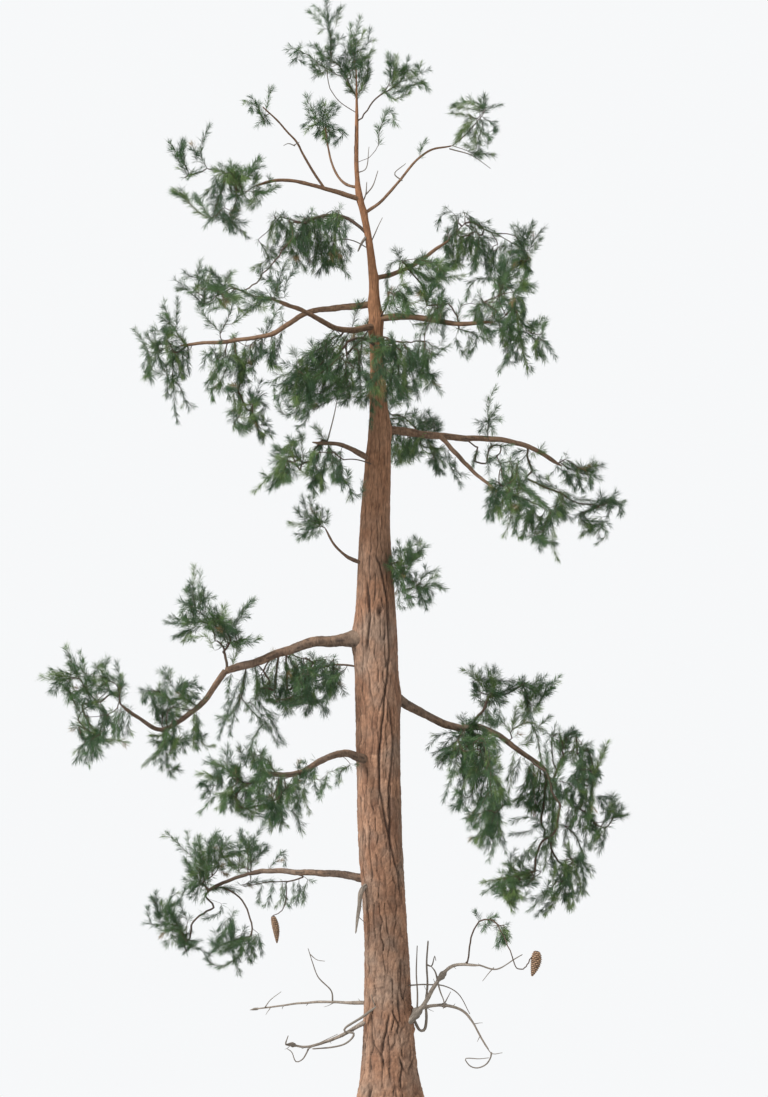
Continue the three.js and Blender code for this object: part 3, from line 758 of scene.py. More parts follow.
# The clusters: how full each one is besides its drawn strokes and how much of it hangs, then the bare
# stems and the needled shoots that the drawing shows, each from its foot to its tip in pixels to the
# right and down, in turn. A cone hangs on a twig of its own
clusters = {
    "leader": dict(full=1.0, hang=0.0, shoots=[
        [357,98, 346,76, 347,56, 350,38], [347,72, 355,62, 350,48], [357,88, 356,72, 357,52],
        [358,98, 350,88, 345,76], [364,90, 367,76, 368,64], [350,78, 349,62, 352,46],
        [358,95, 366,80, 368,64], [350,62, 360,60, 372,52], [352,45, 357,29, 360,18],
        [355,52, 366,46, 370,31], [346,76, 338,64, 331,59]
    ]),
    "top_left": dict(full=1.0, hang=0.1, stems=[
        [357,113, 340,102, 330,88, 327,72]
    ], shoots=[
        [338,75, 322,66, 308,55, 290,46], [325,68, 316,72, 312,62], [322,62, 318,48, 311,45],
        [300,52, 296,58, 302,62], [334,74, 340,72, 346,70], [330,62, 330,40, 328,18, 326,3],
        [328,22, 322,13, 315,6], [328,24, 335,15, 341,7], [331,50, 334,42]
    ]),
    "top_right": dict(full=0.8, hang=0.0, stems=[
        [362,118, 372,103, 384,92], [358,162, 372,155, 378,145]
    ], shoots=[
        [384,92, 394,99, 409,93], [384,92, 394,86, 391,78, 388,56], [394,86, 403,78, 408,60],
        [394,86, 405,87, 420,82], [419,82, 416,75], [419,82, 427,87], [393,80, 395,70, 393,60],
        [378,145, 380,128, 386,115, 391,111, 393,122]
    ]),
    "branch_top_left": dict(full=1.0, hang=0.0, shoots=[
        [265,122, 258,108, 252,98, 251,108], [265,115, 267,105, 271,88], [262,112, 268,121]
    ]),
    "beside_leader": dict(full=1.0, hang=0.3, shoots=[
        [324,132, 316,118, 306,97], [318,122, 312,126, 307,130], [324,130, 322,116, 320,105],
        [322,118, 326,110, 330,105], [325,120, 332,116, 338,107], [326,128, 333,135],
        [325,122, 336,128, 343,132, 337,141], [320,124, 318,134], [324,126, 324,136]
    ]),
    "top_far_right": dict(full=0.8, hang=0.1, stems=[
        [452,146, 466,134, 478,120, 484,112]
    ], shoots=[
        [476,118, 467,128, 460,138], [476,118, 480,130, 488,137], [484,118, 493,124, 495,130],
        [483,112, 470,108, 453,107], [483,106, 470,101, 456,104], [483,108, 492,107, 500,105],
        [484,112, 484,97], [488,137, 495,132], [420,157, 420,150, 425,142], [470,152, 482,153, 492,155]
    ]),
    "top_left_wing": dict(full=1.0, hang=0.2, shoots=[
        [240,192, 238,180, 237,170], [236,182, 246,175, 257,160], [240,192, 232,182, 222,170, 214,168],
        [230,178, 233,165, 240,170], [222,172, 214,185, 201,198], [225,180, 220,195, 212,219],
        [236,190, 233,213], [258,192, 250,205], [258,190, 268,191, 277,187], [256,190, 257,180],
        [240,195, 232,195, 230,185], [212,219, 200,213, 186,200, 174,191], [220,208, 230,219, 246,236],
        [188,202, 174,192]
    ]),
    "top_far_left": dict(full=1.0, hang=0.0, stems=[
        [222,171, 212,170, 207,168], [207,169, 198,173, 190,175]
    ], shoots=[
        [190,175, 182,160, 170,144], [182,162, 181,152, 183,142], [190,175, 200,170],
        [207,168, 201,155, 203,140, 209,127], [200,156, 192,150]
    ]),
    "under_top_left": dict(full=1.0, hang=0.7, stems=[
        [368,234, 352,221, 338,215, 318,217, 303,222, 280,216], [280,216, 270,228, 258,240]
    ], shoots=[
        [278,215, 272,225, 270,236], [280,216, 288,232, 280,250], [292,224, 290,243],
        [303,222, 296,240, 290,258], [305,222, 307,240, 309,262], [304,228, 298,255],
        [316,216, 318,240, 315,265], [320,216, 321,250, 326,268], [328,236, 324,255], [333,246, 326,262],
        [338,214, 335,228], [338,214, 341,240, 347,258], [341,255, 348,276], [338,214, 350,220],
        [258,240, 268,256, 271,270], [268,256, 277,261], [266,260, 255,268]
    ]),
    "high_back_right": dict(full=0.8, hang=0.7, stems=[
        [449,238, 470,222, 490,232, 515,236, 527,253]
    ], shoots=[
        [448,232, 446,255], [458,223, 454,245, 451,262], [462,240, 458,260], [469,235, 463,258],
        [476,240, 471,255], [481,238, 474,258, 471,272], [481,238, 484,258, 488,278],
        [498,247, 492,262, 489,277], [488,278, 473,281, 466,297], [452,212, 442,214, 438,226],
        [465,216, 480,227, 496,234], [527,255, 520,245, 513,228], [528,252, 528,240, 532,223],
        [529,250, 535,238, 544,228], [529,255, 534,250, 540,240], [527,252, 529,262], [525,258, 517,253],
        [526,262, 529,271], [524,258, 515,270]
    ]),
    "high_right_inner": dict(full=1.0, hang=0.4, stems=[
        [381,316, 388,302, 388,290]
    ], shoots=[
        [400,262, 395,250], [400,258, 390,265, 387,280, 388,292], [402,260, 415,270, 430,278],
        [416,262, 430,266, 442,272], [436,278, 448,277, 463,275], [400,284, 410,292], [388,292, 403,300],
        [388,296, 385,308, 392,318], [427,305, 425,295, 421,284], [427,300, 430,290, 431,284],
        [424,296, 417,288], [412,318, 435,314], [436,306, 437,330], [437,305, 440,297, 443,293],
        [440,310, 445,302], [448,308, 443,325], [404,306, 412,312], [459,328, 461,306],
        [456,328, 470,332, 490,341], [456,337, 461,350, 467,356], [469,336, 469,350], [477,338, 472,352]
    ]),
    "high_right_outer": dict(full=1.0, hang=0.5, stems=[
        [492,322, 503,318, 515,302], [515,306, 520,320, 527,331, 541,335], [500,304, 500,290, 503,286]
    ], shoots=[
        [500,285, 505,268, 511,253], [503,288, 506,275, 508,265], [505,287, 510,278, 517,274],
        [515,291, 521,285], [499,276, 496,302], [497,302, 505,300, 515,306], [515,300, 514,325, 507,343],
        [503,322, 505,332, 507,343], [503,322, 515,330, 527,332, 536,340], [520,320, 530,328, 534,324],
        [517,308, 519,330, 524,355, 528,373], [538,336, 541,320], [541,335, 547,345, 554,355],
        [541,338, 541,355], [543,340, 545,358], [480,303, 475,312, 478,325, 488,336],
        [482,302, 490,308, 498,320], [515,347, 507,358, 513,362], [507,360, 500,370]
    ]),
    "high_front_left": dict(full=1.1, hang=0.2, stems=[
        [240,290, 232,288, 224,292, 203,300]
    ], shoots=[
        [280,290, 281,272, 285,264], [285,297, 287,280, 296,268], [279,298, 278,280],
        [278,282, 262,278, 262,270, 268,268], [276,298, 255,296, 240,290, 232,286], [270,293, 255,292],
        [276,300, 273,306], [224,292, 215,288, 205,280, 196,278, 185,273], [198,285, 198,275, 200,262],
        [203,304, 192,294, 176,280], [194,290, 178,289], [222,290, 211,286]
    ]),
    "high_far_left": dict(full=1.0, hang=0.5, shoots=[
        [185,344, 175,330, 168,318, 164,302], [170,322, 161,316], [172,322, 165,328], [177,330, 178,300],
        [190,350, 180,338, 172,334], [160,350, 150,353, 143,342, 135,330], [150,354, 146,370],
        [168,342, 158,345, 158,356, 163,368], [172,358, 163,366], [172,348, 173,380, 174,400, 177,421],
        [173,378, 180,388, 189,408], [175,352, 182,375], [184,345, 183,375], [188,346, 176,355]
    ]),
    "under_high_left": dict(full=0.9, hang=0.5, shoots=[
        [215,352, 206,356, 203,366], [226,348, 220,365, 210,378, 207,388], [211,366, 211,378],
        [225,357, 240,366], [234,337, 236,355, 242,364], [245,347, 245,363, 243,378],
        [255,342, 254,360, 244,364], [262,338, 258,355], [275,338, 274,350, 272,362],
        [283,320, 280,340, 275,352], [270,330, 275,314, 280,308], [264,344, 266,332, 270,322],
        [242,366, 240,380, 238,392], [239,388, 230,388], [220,334, 228,318, 234,299],
        [230,312, 225,307, 210,310], [235,303, 242,312, 248,309], [232,324, 245,315, 256,306],
        [220,332, 206,318, 199,309], [240,394, 246,408, 240,398], [248,410, 250,400, 250,390],
        [251,410, 258,400], [250,410, 238,412, 236,420], [236,420, 243,426, 254,421],
        [252,411, 257,425, 260,438], [258,425, 270,424, 262,436], [260,428, 270,434]
    ]),
    "fan_front_left": dict(full=1.8, hang=0.5, shoots=[
        [337,335, 318,350, 302,358, 302,366], [302,358, 290,372, 275,380, 275,397],
        [300,368, 285,385, 278,397], [342,334, 318,365, 292,392], [348,334, 330,360, 294,397],
        [345,375, 325,390, 292,406], [350,385, 330,398, 298,412], [345,392, 320,405, 300,414],
        [310,380, 310,395, 311,405], [318,375, 310,385], [308,410, 305,422, 299,426],
        [296,412, 284,416, 280,404], [340,352, 325,366, 310,385], [352,326, 357,312, 362,302],
        [346,345, 324,368, 300,388], [346,362, 326,380, 304,396], [332,344, 312,362, 288,384],
        [350,372, 336,388, 316,404], [324,352, 306,372, 286,392]
    ]),
    "front": dict(full=1.1, hang=0.8, stems=[
        [376,338, 360,341, 346,355], [384,340, 402,342, 425,341, 438,347]
    ], shoots=[
        [358,350, 360,380, 361,405], [350,350, 347,370, 347,388], [370,375, 372,400, 371,426],
        [385,368, 384,400], [390,368, 393,395], [392,345, 398,365, 399,390], [405,352, 406,380, 408,402],
        [402,342, 410,352, 415,366], [420,335, 418,352, 415,366], [425,340, 422,360, 418,376],
        [420,374, 435,384, 441,392], [428,342, 438,349, 448,346], [440,344, 443,334],
        [432,350, 428,362, 428,372], [346,356, 360,341, 372,338], [372,338, 381,340, 384,346],
        [358,352, 352,375, 348,403], [388,345, 389,360], [398,346, 391,341, 384,352]
    ]),
    "high_back": dict(full=1.8, hang=0.5),
    "short_left": dict(full=1.0, hang=0.4, shoots=[
        [326,441, 320,435, 316,429], [322,440, 315,450, 312,460, 302,463], [302,463, 298,456, 276,447],
        [298,460, 295,450, 296,440, 288,446], [312,455, 308,472], [286,462, 275,456],
        [284,464, 270,476, 256,490], [284,464, 285,475, 283,480], [283,466, 276,487], [285,464, 290,476],
        [328,443, 331,458, 334,480], [336,452, 338,470, 342,484], [332,480, 345,480, 350,488, 352,498],
        [347,480, 348,474], [350,490, 360,495, 363,484], [320,474, 322,488]
    ]),
    "upper_right_inner": dict(full=1.0, hang=0.3, shoots=[
        [392,426, 388,414, 392,404], [388,424, 384,438], [392,418, 402,420, 406,427],
        [393,430, 391,445, 389,463], [396,438, 398,450, 400,460], [412,434, 408,448, 401,458],
        [418,430, 420,420, 428,411], [426,430, 429,414], [418,430, 415,440, 413,452],
        [420,438, 422,446, 430,447], [430,447, 435,458, 438,464], [434,460, 442,472]
    ]),
    "upper_right_hanging": dict(full=1.0, hang=0.6, shoots=[
        [446,450, 444,465], [448,450, 452,470, 460,482], [455,458, 457,472, 465,475], [477,450, 473,465],
        [487,462, 490,447, 510,445], [500,453, 490,462, 488,472], [500,463, 505,478, 510,480],
        [511,462, 513,475, 506,490], [508,482, 493,484], [501,483, 497,500, 493,518],
        [519,482, 515,495, 508,515], [510,490, 503,500, 500,512], [505,492, 520,497, 538,505],
        [522,488, 535,497, 548,508], [524,500, 518,515, 514,533], [532,513, 524,536],
        [545,510, 538,525, 533,540], [550,510, 545,525, 538,547], [533,536, 545,540, 552,543],
        [552,528, 553,545, 557,558], [508,510, 520,508, 526,505], [488,438, 488,421, 489,402, 495,388],
        [488,421, 479,422], [488,421, 497,408], [488,421, 499,419], [488,423, 481,429], [488,424, 493,431]
    ]),
    "upper_right_tip": dict(full=1.0, hang=0.4, shoots=[
        [533,453, 543,452], [527,455, 530,465, 538,480], [528,450, 515,452], [560,462, 575,471, 598,476],
        [567,470, 569,480], [578,474, 582,490], [526,478, 540,485, 553,490, 565,494],
        [560,492, 575,502, 595,505], [592,507, 602,499, 612,500], [606,500, 618,504, 620,514],
        [600,507, 588,510, 577,515], [580,514, 585,523, 605,526], [602,526, 606,535, 598,543],
        [562,500, 562,517], [562,503, 570,518], [548,490, 540,478], [592,473, 592,481], [516,465, 522,470]
    ]),
    "spur_left": dict(full=0.8, hang=0.0, shoots=[
        [320,524, 310,518, 303,498], [320,524, 305,520, 296,510], [320,525, 305,525, 292,523],
        [320,526, 308,530, 304,536], [320,524, 316,516, 317,508], [320,524, 327,520, 328,513],
        [312,531, 300,538]
    ]),
    "spur_right": dict(full=1.0, hang=0.0, shoots=[
        [388,562, 386,556], [390,560, 396,563, 402,568], [402,568, 400,555, 399,543],
        [402,567, 408,558, 412,546], [402,568, 410,560, 417,553], [390,562, 397,575, 412,603],
        [397,573, 408,572, 412,580], [406,590, 418,585, 425,575, 436,570], [418,585, 425,590, 431,600],
        [418,586, 424,600, 426,607], [426,586, 437,584, 444,588], [392,568, 398,590, 399,605]
    ]),
    "on_long_left": dict(full=0.9, hang=0.0, stems=[
        [227,668, 225,655, 222,645, 217,641], [223,652, 232,642, 240,640]
    ], shoots=[
        [197,612, 193,600, 190,588], [195,605, 193,590, 194,567], [197,612, 202,603, 208,595],
        [196,607, 187,610, 187,623], [218,628, 210,620, 197,610], [215,641, 213,630, 205,622, 186,624],
        [190,624, 168,622], [195,627, 180,635], [222,632, 218,620, 215,608], [230,637, 222,622, 216,610],
        [240,640, 235,628, 225,626], [233,628, 243,613, 253,601], [240,640, 247,643, 256,640],
        [226,632, 234,632], [232,642, 240,639]
    ]),
    "far_left": dict(full=0.8, hang=0.2, shoots=[
        [98,702, 88,692, 76,672, 67,650], [76,675, 69,665], [72,678, 58,680, 43,677],
        [62,679, 55,683, 51,690], [70,677, 60,675, 52,674], [84,688, 73,695, 68,688],
        [82,715, 74,702, 68,690], [82,704, 95,707], [84,714, 95,732], [95,735, 85,728, 75,725],
        [76,726, 83,738, 90,737], [92,735, 98,724], [95,732, 92,755], [88,738, 82,747, 76,760],
        [94,734, 105,738, 125,742], [98,702, 105,714, 113,724], [120,704, 119,690, 121,680],
        [117,712, 114,724, 114,737], [120,682, 112,678, 106,672, 106,660], [110,692, 101,689],
        [126,707, 122,718, 122,733], [130,709, 127,732]
    ]),
    "long_left_bend": dict(full=0.9, hang=0.3, shoots=[
        [197,706, 183,697, 175,690, 165,670], [190,700, 180,697, 172,702], [172,702, 160,692, 143,690],
        [144,690, 143,699], [152,694, 156,708, 159,720], [162,726, 163,700, 165,676],
        [184,700, 181,686, 184,684], [182,687, 200,688], [162,714, 172,707, 182,709], [170,712, 174,735],
        [165,730, 160,748, 144,764], [165,732, 166,755, 170,773], [165,740, 154,741], [168,740, 181,740],
        [166,757, 173,746], [170,772, 176,768], [196,712, 198,735, 198,746], [199,736, 205,746, 212,746]
    ]),
    "under_long_left": dict(full=0.7, hang=0.8, shoots=[
        [231,674, 228,690, 228,702], [246,668, 243,690, 238,706], [245,672, 240,695, 229,732],
        [240,680, 232,700, 219,736], [236,704, 230,715, 220,717], [230,670, 234,660, 239,645],
        [243,700, 255,714, 268,728], [250,702, 262,715, 277,744], [257,676, 257,690],
        [257,690, 265,687, 270,682], [265,688, 267,700, 272,702], [278,660, 276,675, 275,690],
        [286,660, 287,685, 286,707], [286,691, 300,685, 312,682], [275,698, 288,700, 303,697],
        [287,706, 300,703, 315,700], [297,668, 292,685], [301,658, 302,697], [314,662, 314,692],
        [304,682, 310,670, 328,666], [328,664, 327,702], [338,664, 335,695], [346,668, 332,680, 332,693],
        [266,722, 258,730, 250,748]
    ]),
    "front_left_low": dict(full=1.0, hang=0.6, shoots=[
        [240,781, 228,770, 215,763, 207,762], [218,777, 208,774, 199,774], [215,765, 218,777, 218,786],
        [212,778, 201,784], [214,785, 202,784], [228,770, 227,758, 227,748], [234,776, 240,767],
        [232,772, 231,784], [238,778, 245,784], [238,788, 229,793, 215,797, 202,811], [225,795, 222,807],
        [231,793, 231,808], [274,776, 262,774, 253,779], [276,773, 272,768, 269,761],
        [264,780, 245,785, 235,795], [236,796, 239,806, 250,810], [248,808, 268,804], [246,790, 247,806],
        [244,790, 253,791], [265,778, 268,790, 270,803], [272,781, 272,800, 272,822],
        [280,780, 280,800, 282,820], [272,810, 277,820, 272,830], [278,808, 280,828],
        [289,784, 287,797, 288,806], [294,776, 303,795, 309,811], [292,808, 298,820, 300,828],
        [306,763, 305,785, 305,798], [316,760, 316,792], [321,780, 320,797], [328,772, 323,790],
        [350,765, 342,770, 337,782], [250,748, 246,764, 240,747], [300,772, 313,771]
    ]),
    "back_left_low": dict(full=1.0, hang=0.0, stems=[
        [262,872, 248,874, 230,880, 212,888, 205,896, 221,903], [303,877, 290,881, 270,882, 245,886]
    ], shoots=[
        [200,882, 200,860, 199,838], [198,862, 185,850, 168,833], [196,852, 189,846, 187,832],
        [200,884, 195,874, 186,860], [203,884, 206,868, 200,858], [212,876, 209,860, 210,845, 215,837],
        [218,868, 220,850, 216,838], [220,856, 226,843, 232,848], [222,854, 235,852, 245,851],
        [245,868, 232,867, 223,857], [248,870, 248,850, 248,834], [248,848, 243,840, 239,832],
        [249,848, 256,836, 263,825], [250,850, 262,845], [252,862, 266,849], [200,885, 187,880],
        [198,886, 190,892], [200,886, 195,898], [205,885, 203,900], [268,870, 276,860, 283,851, 285,863],
        [262,885, 258,901], [275,882, 270,903], [282,882, 277,906], [287,882, 285,903], [293,882, 291,903],
        [299,882, 297,902], [308,880, 304,890, 303,901], [240,885, 256,882, 272,881],
        [208,890, 224,887, 238,890]
    ], cone=dict(
        twig=[286,884, 286,899, 282,911, 273,916], step=0.09, load=14.0, end=(277, 943), wide=0.062
    )),
    "back_left_far": dict(full=1.0, hang=0.2, stems=[
        [206,897, 214,907, 205,912, 193,922, 190,938]
    ], shoots=[
        [165,924, 152,925, 148,908], [182,927, 170,924, 158,925], [160,922, 157,908, 156,894],
        [158,920, 163,912, 163,904], [175,922, 168,905, 173,892], [170,908, 178,902],
        [188,942, 178,925, 170,908], [192,945, 180,940, 174,937], [194,944, 185,951], [190,947, 205,952],
        [188,940, 200,941], [192,930, 184,936, 180,944], [222,904, 220,912, 206,918]
    ]),
    "back_left_hanging": dict(full=1.0, hang=0.4, stems=[
        [222,887, 235,893, 246,907, 252,930, 250,938]
    ], shoots=[
        [250,936, 235,940, 218,947], [220,945, 222,937, 228,933], [247,943, 232,947, 224,952],
        [232,942, 231,932, 231,922], [250,938, 247,955, 250,960], [252,936, 252,958], [243,944, 235,960],
        [235,960, 222,966, 212,964], [214,965, 207,958, 213,952], [232,944, 234,960, 239,970]
    ]),
    "long_right_top": dict(full=0.8, hang=0.0, stems=[
        [470,731, 476,718, 483,710, 488,698]
    ], shoots=[
        [484,690, 475,675, 464,670], [478,682, 472,668], [486,688, 489,675, 487,668],
        [494,696, 494,680, 494,667], [480,684, 490,682, 507,684], [490,697, 505,694, 523,684],
        [486,700, 489,719], [480,694, 476,686], [523,686, 528,700, 529,708], [525,690, 524,678],
        [529,703, 535,690, 545,677], [537,706, 545,694, 559,676], [524,686, 535,690, 542,696, 551,690],
        [488,692, 498,698]
    ]),
    "long_right_inner": dict(full=0.8, hang=0.8, shoots=[
        [466,735, 455,732, 440,735, 428,747], [460,736, 455,742, 448,748, 438,758],
        [453,748, 444,748, 435,753], [456,743, 452,758, 449,767], [466,735, 465,760, 464,780, 459,808],
        [474,748, 470,762, 467,775], [478,748, 473,772], [480,742, 477,730, 475,722],
        [478,745, 490,738, 497,750], [470,733, 485,735], [484,745, 488,758, 489,772],
        [484,758, 478,775, 472,794], [489,770, 483,785, 480,804], [490,768, 494,761],
        [489,772, 497,783, 504,800], [496,792, 487,795, 471,816], [505,804, 492,810, 476,826],
        [495,792, 490,812, 486,826], [498,785, 498,800], [495,813, 492,830, 484,834],
        [497,812, 498,830, 494,845, 489,859], [494,815, 491,828, 488,841]
    ]),
    "long_right_outer": dict(full=0.9, hang=0.7, shoots=[
        [512,738, 506,724, 494,725], [512,730, 516,709], [514,728, 530,722, 540,728],
        [524,724, 524,714, 517,718], [530,722, 537,735, 541,760], [533,725, 528,738], [537,728, 549,718],
        [520,745, 530,742], [515,750, 511,775, 507,797], [512,760, 508,778], [520,758, 515,780],
        [528,768, 523,793], [533,764, 534,790, 532,809], [541,768, 539,790, 536,806],
        [547,770, 544,800, 541,824], [533,792, 520,798, 508,804], [535,803, 520,805, 509,804],
        [541,820, 527,817, 513,820], [544,822, 530,831, 512,834], [553,762, 552,740, 555,727],
        [554,735, 560,746], [562,750, 568,735, 576,733], [576,736, 577,750, 574,761],
        [577,754, 588,749, 592,765], [592,765, 593,782], [593,780, 600,762, 607,743],
        [553,780, 560,765, 567,753], [554,782, 557,797], [576,786, 581,776, 583,765],
        [580,782, 572,788, 563,796], [575,788, 571,797, 577,808], [578,786, 584,795, 578,808],
        [576,808, 570,826], [592,785, 590,805, 586,828], [586,828, 583,852], [553,798, 553,820, 551,842],
        [560,803, 555,822, 551,842], [565,826, 575,835, 584,856], [586,812, 595,825, 600,840],
        [617,815, 610,810, 604,802], [612,818, 625,815], [608,826, 616,816, 621,808],
        [606,822, 604,838, 600,852], [604,828, 598,836, 591,846], [603,836, 596,832, 590,825],
        [538,838, 530,850, 523,861], [545,830, 542,850, 534,867], [549,838, 546,855, 545,866],
        [541,850, 531,857], [551,843, 553,860]
    ]),
    "long_right_low": dict(full=1.0, hang=0.3, stems=[
        [551,842, 553,862, 560,878], [540,845, 536,858, 535,871]
    ], shoots=[
        [535,871, 515,870, 510,862, 514,852], [535,872, 515,876, 483,882], [500,880, 485,892],
        [505,880, 503,888, 508,897, 514,906], [520,879, 516,885, 514,894], [514,886, 520,899, 527,893],
        [518,880, 532,879], [512,880, 506,872, 510,870], [572,862, 568,852], [576,862, 579,856],
        [572,862, 562,874, 557,880], [558,882, 554,863], [563,878, 555,895, 545,912],
        [570,866, 569,885, 569,906], [574,868, 578,898], [580,864, 584,880, 583,892],
        [575,862, 585,863, 590,874], [560,880, 568,885]
    ]),
    "lowest_right": dict(full=0.0, hang=0.0, stems=[
        [467,965, 470,945, 476,925, 484,919, 495,922, 501,931, 507,944, 512,955]
    ], shoots=[
        [479,923, 476,913], [499,930, 505,943], [501,933, 499,944], [487,920, 494,916]
    ], cone=dict(
        twig=[512,955, 516,967, 523,969, 531,958, 537,951], step=0.04, load=20.0, end=(532, 976), wide=0.088
    )),
}


def measured(node):
    # a function that says how deep a place lies inside the closed node, and the volume of it
    form = bmesh.new()
    form.from_mesh(node.data)
    bmesh.ops.remove_doubles(form, verts=form.verts, dist=1e-4)
    volume = abs(form.calc_volume())
    tree = BVHTree.FromBMesh(form)
    form.free()

    def depth(place):
        spot, normal, _, distance = tree.find_nearest(Vector(place))
        return distance if (Vector(place) - spot).dot(normal) < 0 else -distance

    return depth, volume


def bowed(first, last, bow):
    # a straight stroke with its middle moved aside by a share of its length
    right, down = last[0] - first[0], last[1] - first[1]
    return [first, (first[0] + right * 0.5 - down * bow, first[1] + down * 0.5 + right * bow), last]


def growDrawn(strokes, near, back, needled, step=twigSizes["step"]):
    # Each stroke joins on where the growth comes nearest to its foot in the drawing, takes the
    # depth of that place, and leans from there towards the middle depth of the cluster
    waiting, lines = [pairs(stroke) for stroke in strokes], []
    while waiting:
        feet = np.array([stroke[0] for stroke in waiting], dtype=float)
        gaps = np.linalg.norm(feet[:, None] - inDrawing(grown["place"][near])[None], axis=2)
        pick, place = np.unravel_index(np.argmin(gaps), gaps.shape)
        stroke = waiting.pop(pick)
        joined = math.exp(-(gaps[pick, place] / twigSizes["joinPixels"]) ** 2)
        depth = grown["place"][near[place], 1] * joined + back * (1.0 - joined)
        lean = float(np.clip((back - depth) * twigSizes["lean"], -twigSizes["lean"], twigSizes["lean"]))
        lean += random.uniform(-twigSizes["leanChange"], twigSizes["leanChange"])
        if len(stroke) == 2:
            stroke = bowed(*stroke, random.uniform(-twigSizes["bow"], twigSizes["bow"]))
        line = [fromDrawing(*stroke[0], depth)]
        for last, here in zip(stroke, stroke[1:]):
            depth += lean * drawing["pixel"] * math.dist(here, last)
            line.append(fromDrawing(*here, depth))
        growAlong(line, near, needled, step)
        lines.append(np.array(line))
    return lines


def growEchoes(lines, low, high, near, fits):
    # the same shoots again at other depths, turned about their feet, so that the cluster is as
    # full from the side as from the front
    echoes = []
    for line in lines:
        for index in range(int(twigSizes["echoesPerMetre"] * (high[1] - low[1]) + random.random())):
            for attempt in range(twigSizes["echoTries"]):
                turn = random.uniform(-twigSizes["echoTurn"], twigSizes["echoTurn"])
                offset = (line - line[0]) * random.uniform(*twigSizes["echoSize"])
                foot = fromDrawing(*inDrawing(line[:1])[0], random.uniform(low[1], high[1]))
                echo = foot + random.normal(0.0, twigSizes["echoShift"], 3) + np.stack([
                    offset[:, 0] * math.cos(turn) - offset[:, 1] * math.sin(turn),
                    offset[:, 0] * math.sin(turn) + offset[:, 1] * math.cos(turn), offset[:, 2]], -1)
                if min(fits(place) for place in echo) > twigSizes["echoMargin"]:
                    echoes.append(echo)
                    break
    middle = (low[1] + high[1]) * 0.5
    for echo in sorted(echoes, key=lambda echo: abs(echo[0, 1] - middle)):
        growAlong(echo, near, True)


def growCluster(name, cluster):
    depth, volume = measured(nodes["needles_" + name])
    low, high = (np.array(corner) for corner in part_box("needles_" + name))
    middle = (low + high) * 0.5
    # growth round the cluster and on the way from the trunk to it can carry its shoots
    places = grown["place"][:grown["count"]]
    least, most = low - twigSizes["around"], high + twigSizes["around"]
    least[1], most[1] = min(least[1], -twigSizes["depthAround"]), max(most[1], twigSizes["depthAround"])
    near = list(np.nonzero(np.all((places > least) & (places < most), axis=1))[0])
    if name == "lowest_right":
        # nothing but the dead limb carries these
        near = [index for index in near if places[index, 0] > 1.0 and places[index, 1] < 0.0]
    growDrawn(cluster.get("stems", []), near, middle[1], False)
    lines = growDrawn(cluster.get("shoots", []), near, middle[1], True)
    if "cone" in cluster:
        cone = cluster["cone"]
        twig = growDrawn([cone["twig"]], near, middle[1], False, cone["step"])[0]
        grown["load"][near[-1]] = cone["load"]
        cone["line"] = [twig[-1], fromDrawing(*cone["end"], twig[-1][1])]
    growEchoes(lines, low, high, near, depth)
    drawn = inDrawing(np.vstack([evenly(line, twigSizes["nearStep"]) for line in lines])) if lines else None

    def fits(place, margin=twigSizes["clumpMargin"]):
        # inside the cluster, and before or behind a drawn shoot
        inside = depth(place) - margin
        if drawn is None:
            return inside
        gap = np.linalg.norm(drawn - inDrawing(place[None]), axis=1).min() * drawing["pixel"]
        return min(inside, twigSizes["clumpsNear"] - gap)

    centres = spreadOut(
        int(twigSizes["clumpsPerVolume"] * volume * cluster["full"]), twigSizes["clumpTries"],
        lambda: low + (high - low) * random.random(3), fits)
    nearest = [np.linalg.norm(grown["place"][near] - centre, axis=1).min() for centre in centres]
    for index in np.argsort(nearest):
        centre = centres[index]
        hanging = random.random() < cluster["hang"] * twigSizes["hangShare"]
        lift = -twigSizes["hangFall"] if hanging else twigSizes["clumpRise"]
        way = unit(unit(centre - middle + up * 0.15) * 0.8 + up * lift)
        wide, tall = twigSizes["hangReach" if hanging else "clumpReach"]
        spread = np.array([wide, wide, tall]) * random.uniform(*twigSizes["clumpSize"])
        growClump(centre, way, near, spread, hanging, lambda place: fits(place, twigSizes["tuftMargin"]))


for name, limb in limbs.items():
    line = limbLines[name]
    ways = unit(np.gradient(line, axis=0))
    for index, place in enumerate(line):
        outside = np.hypot(*(place - trunkMiddle(place[2]))[:2]) - trunkRadius(place[2])
        carries = name == "dead_right" or not limb.get("dead", False)
        if carries and outside > twigSizes["outside"]:
            addGrowth(place, ways[index], -1, limb["radii"][index])
for height in np.append(np.arange(twigSizes["leaderFrom"], trunkTop, twigSizes["leaderStep"]), trunkTop):
    addGrowth(trunkMiddle(height), up, -1, trunkRadius(height))
# Limbs that a cluster hides: where on the trunk they start and where they end
hiddenLimbs = [
    (14.55, (0.1, -1.5, 14.4)), (14.2, (0.65, -1.0, 14.05)), (14.7, (-0.5, 1.7, 14.65)),
    (14.1, (0.2, 2.4, 14.2)), (14.45, (-0.75, -0.95, 14.5)), (16.2, (-1.1, 0.9, 16.4)),
    (10.3, (0.45, -0.5, 10.6)), (10.1, (0.4, 0.3, 10.3)), (12.75, (0.6, 2.1, 12.9)),
    (8.6, (-1.5, 1.4, 8.6)), (12.3, (-1.1, -1.7, 12.3)),
]
for height, tip in hiddenLimbs:
    start, parent = trunkMiddle(height), -1
    reach = np.array(tip) - start
    for share in np.linspace(0.0, 1.0, max(3, int(np.linalg.norm(reach) / twigSizes["hiddenStep"]))):
        place = start + reach * share + up * twigSizes["hiddenArch"] * math.sin(math.pi * share)
        parent = addGrowth(place, unit(reach), parent, trunkRadius(height) if parent < 0 else 0.0)
for name, cluster in clusters.items():
    growCluster(name, cluster)
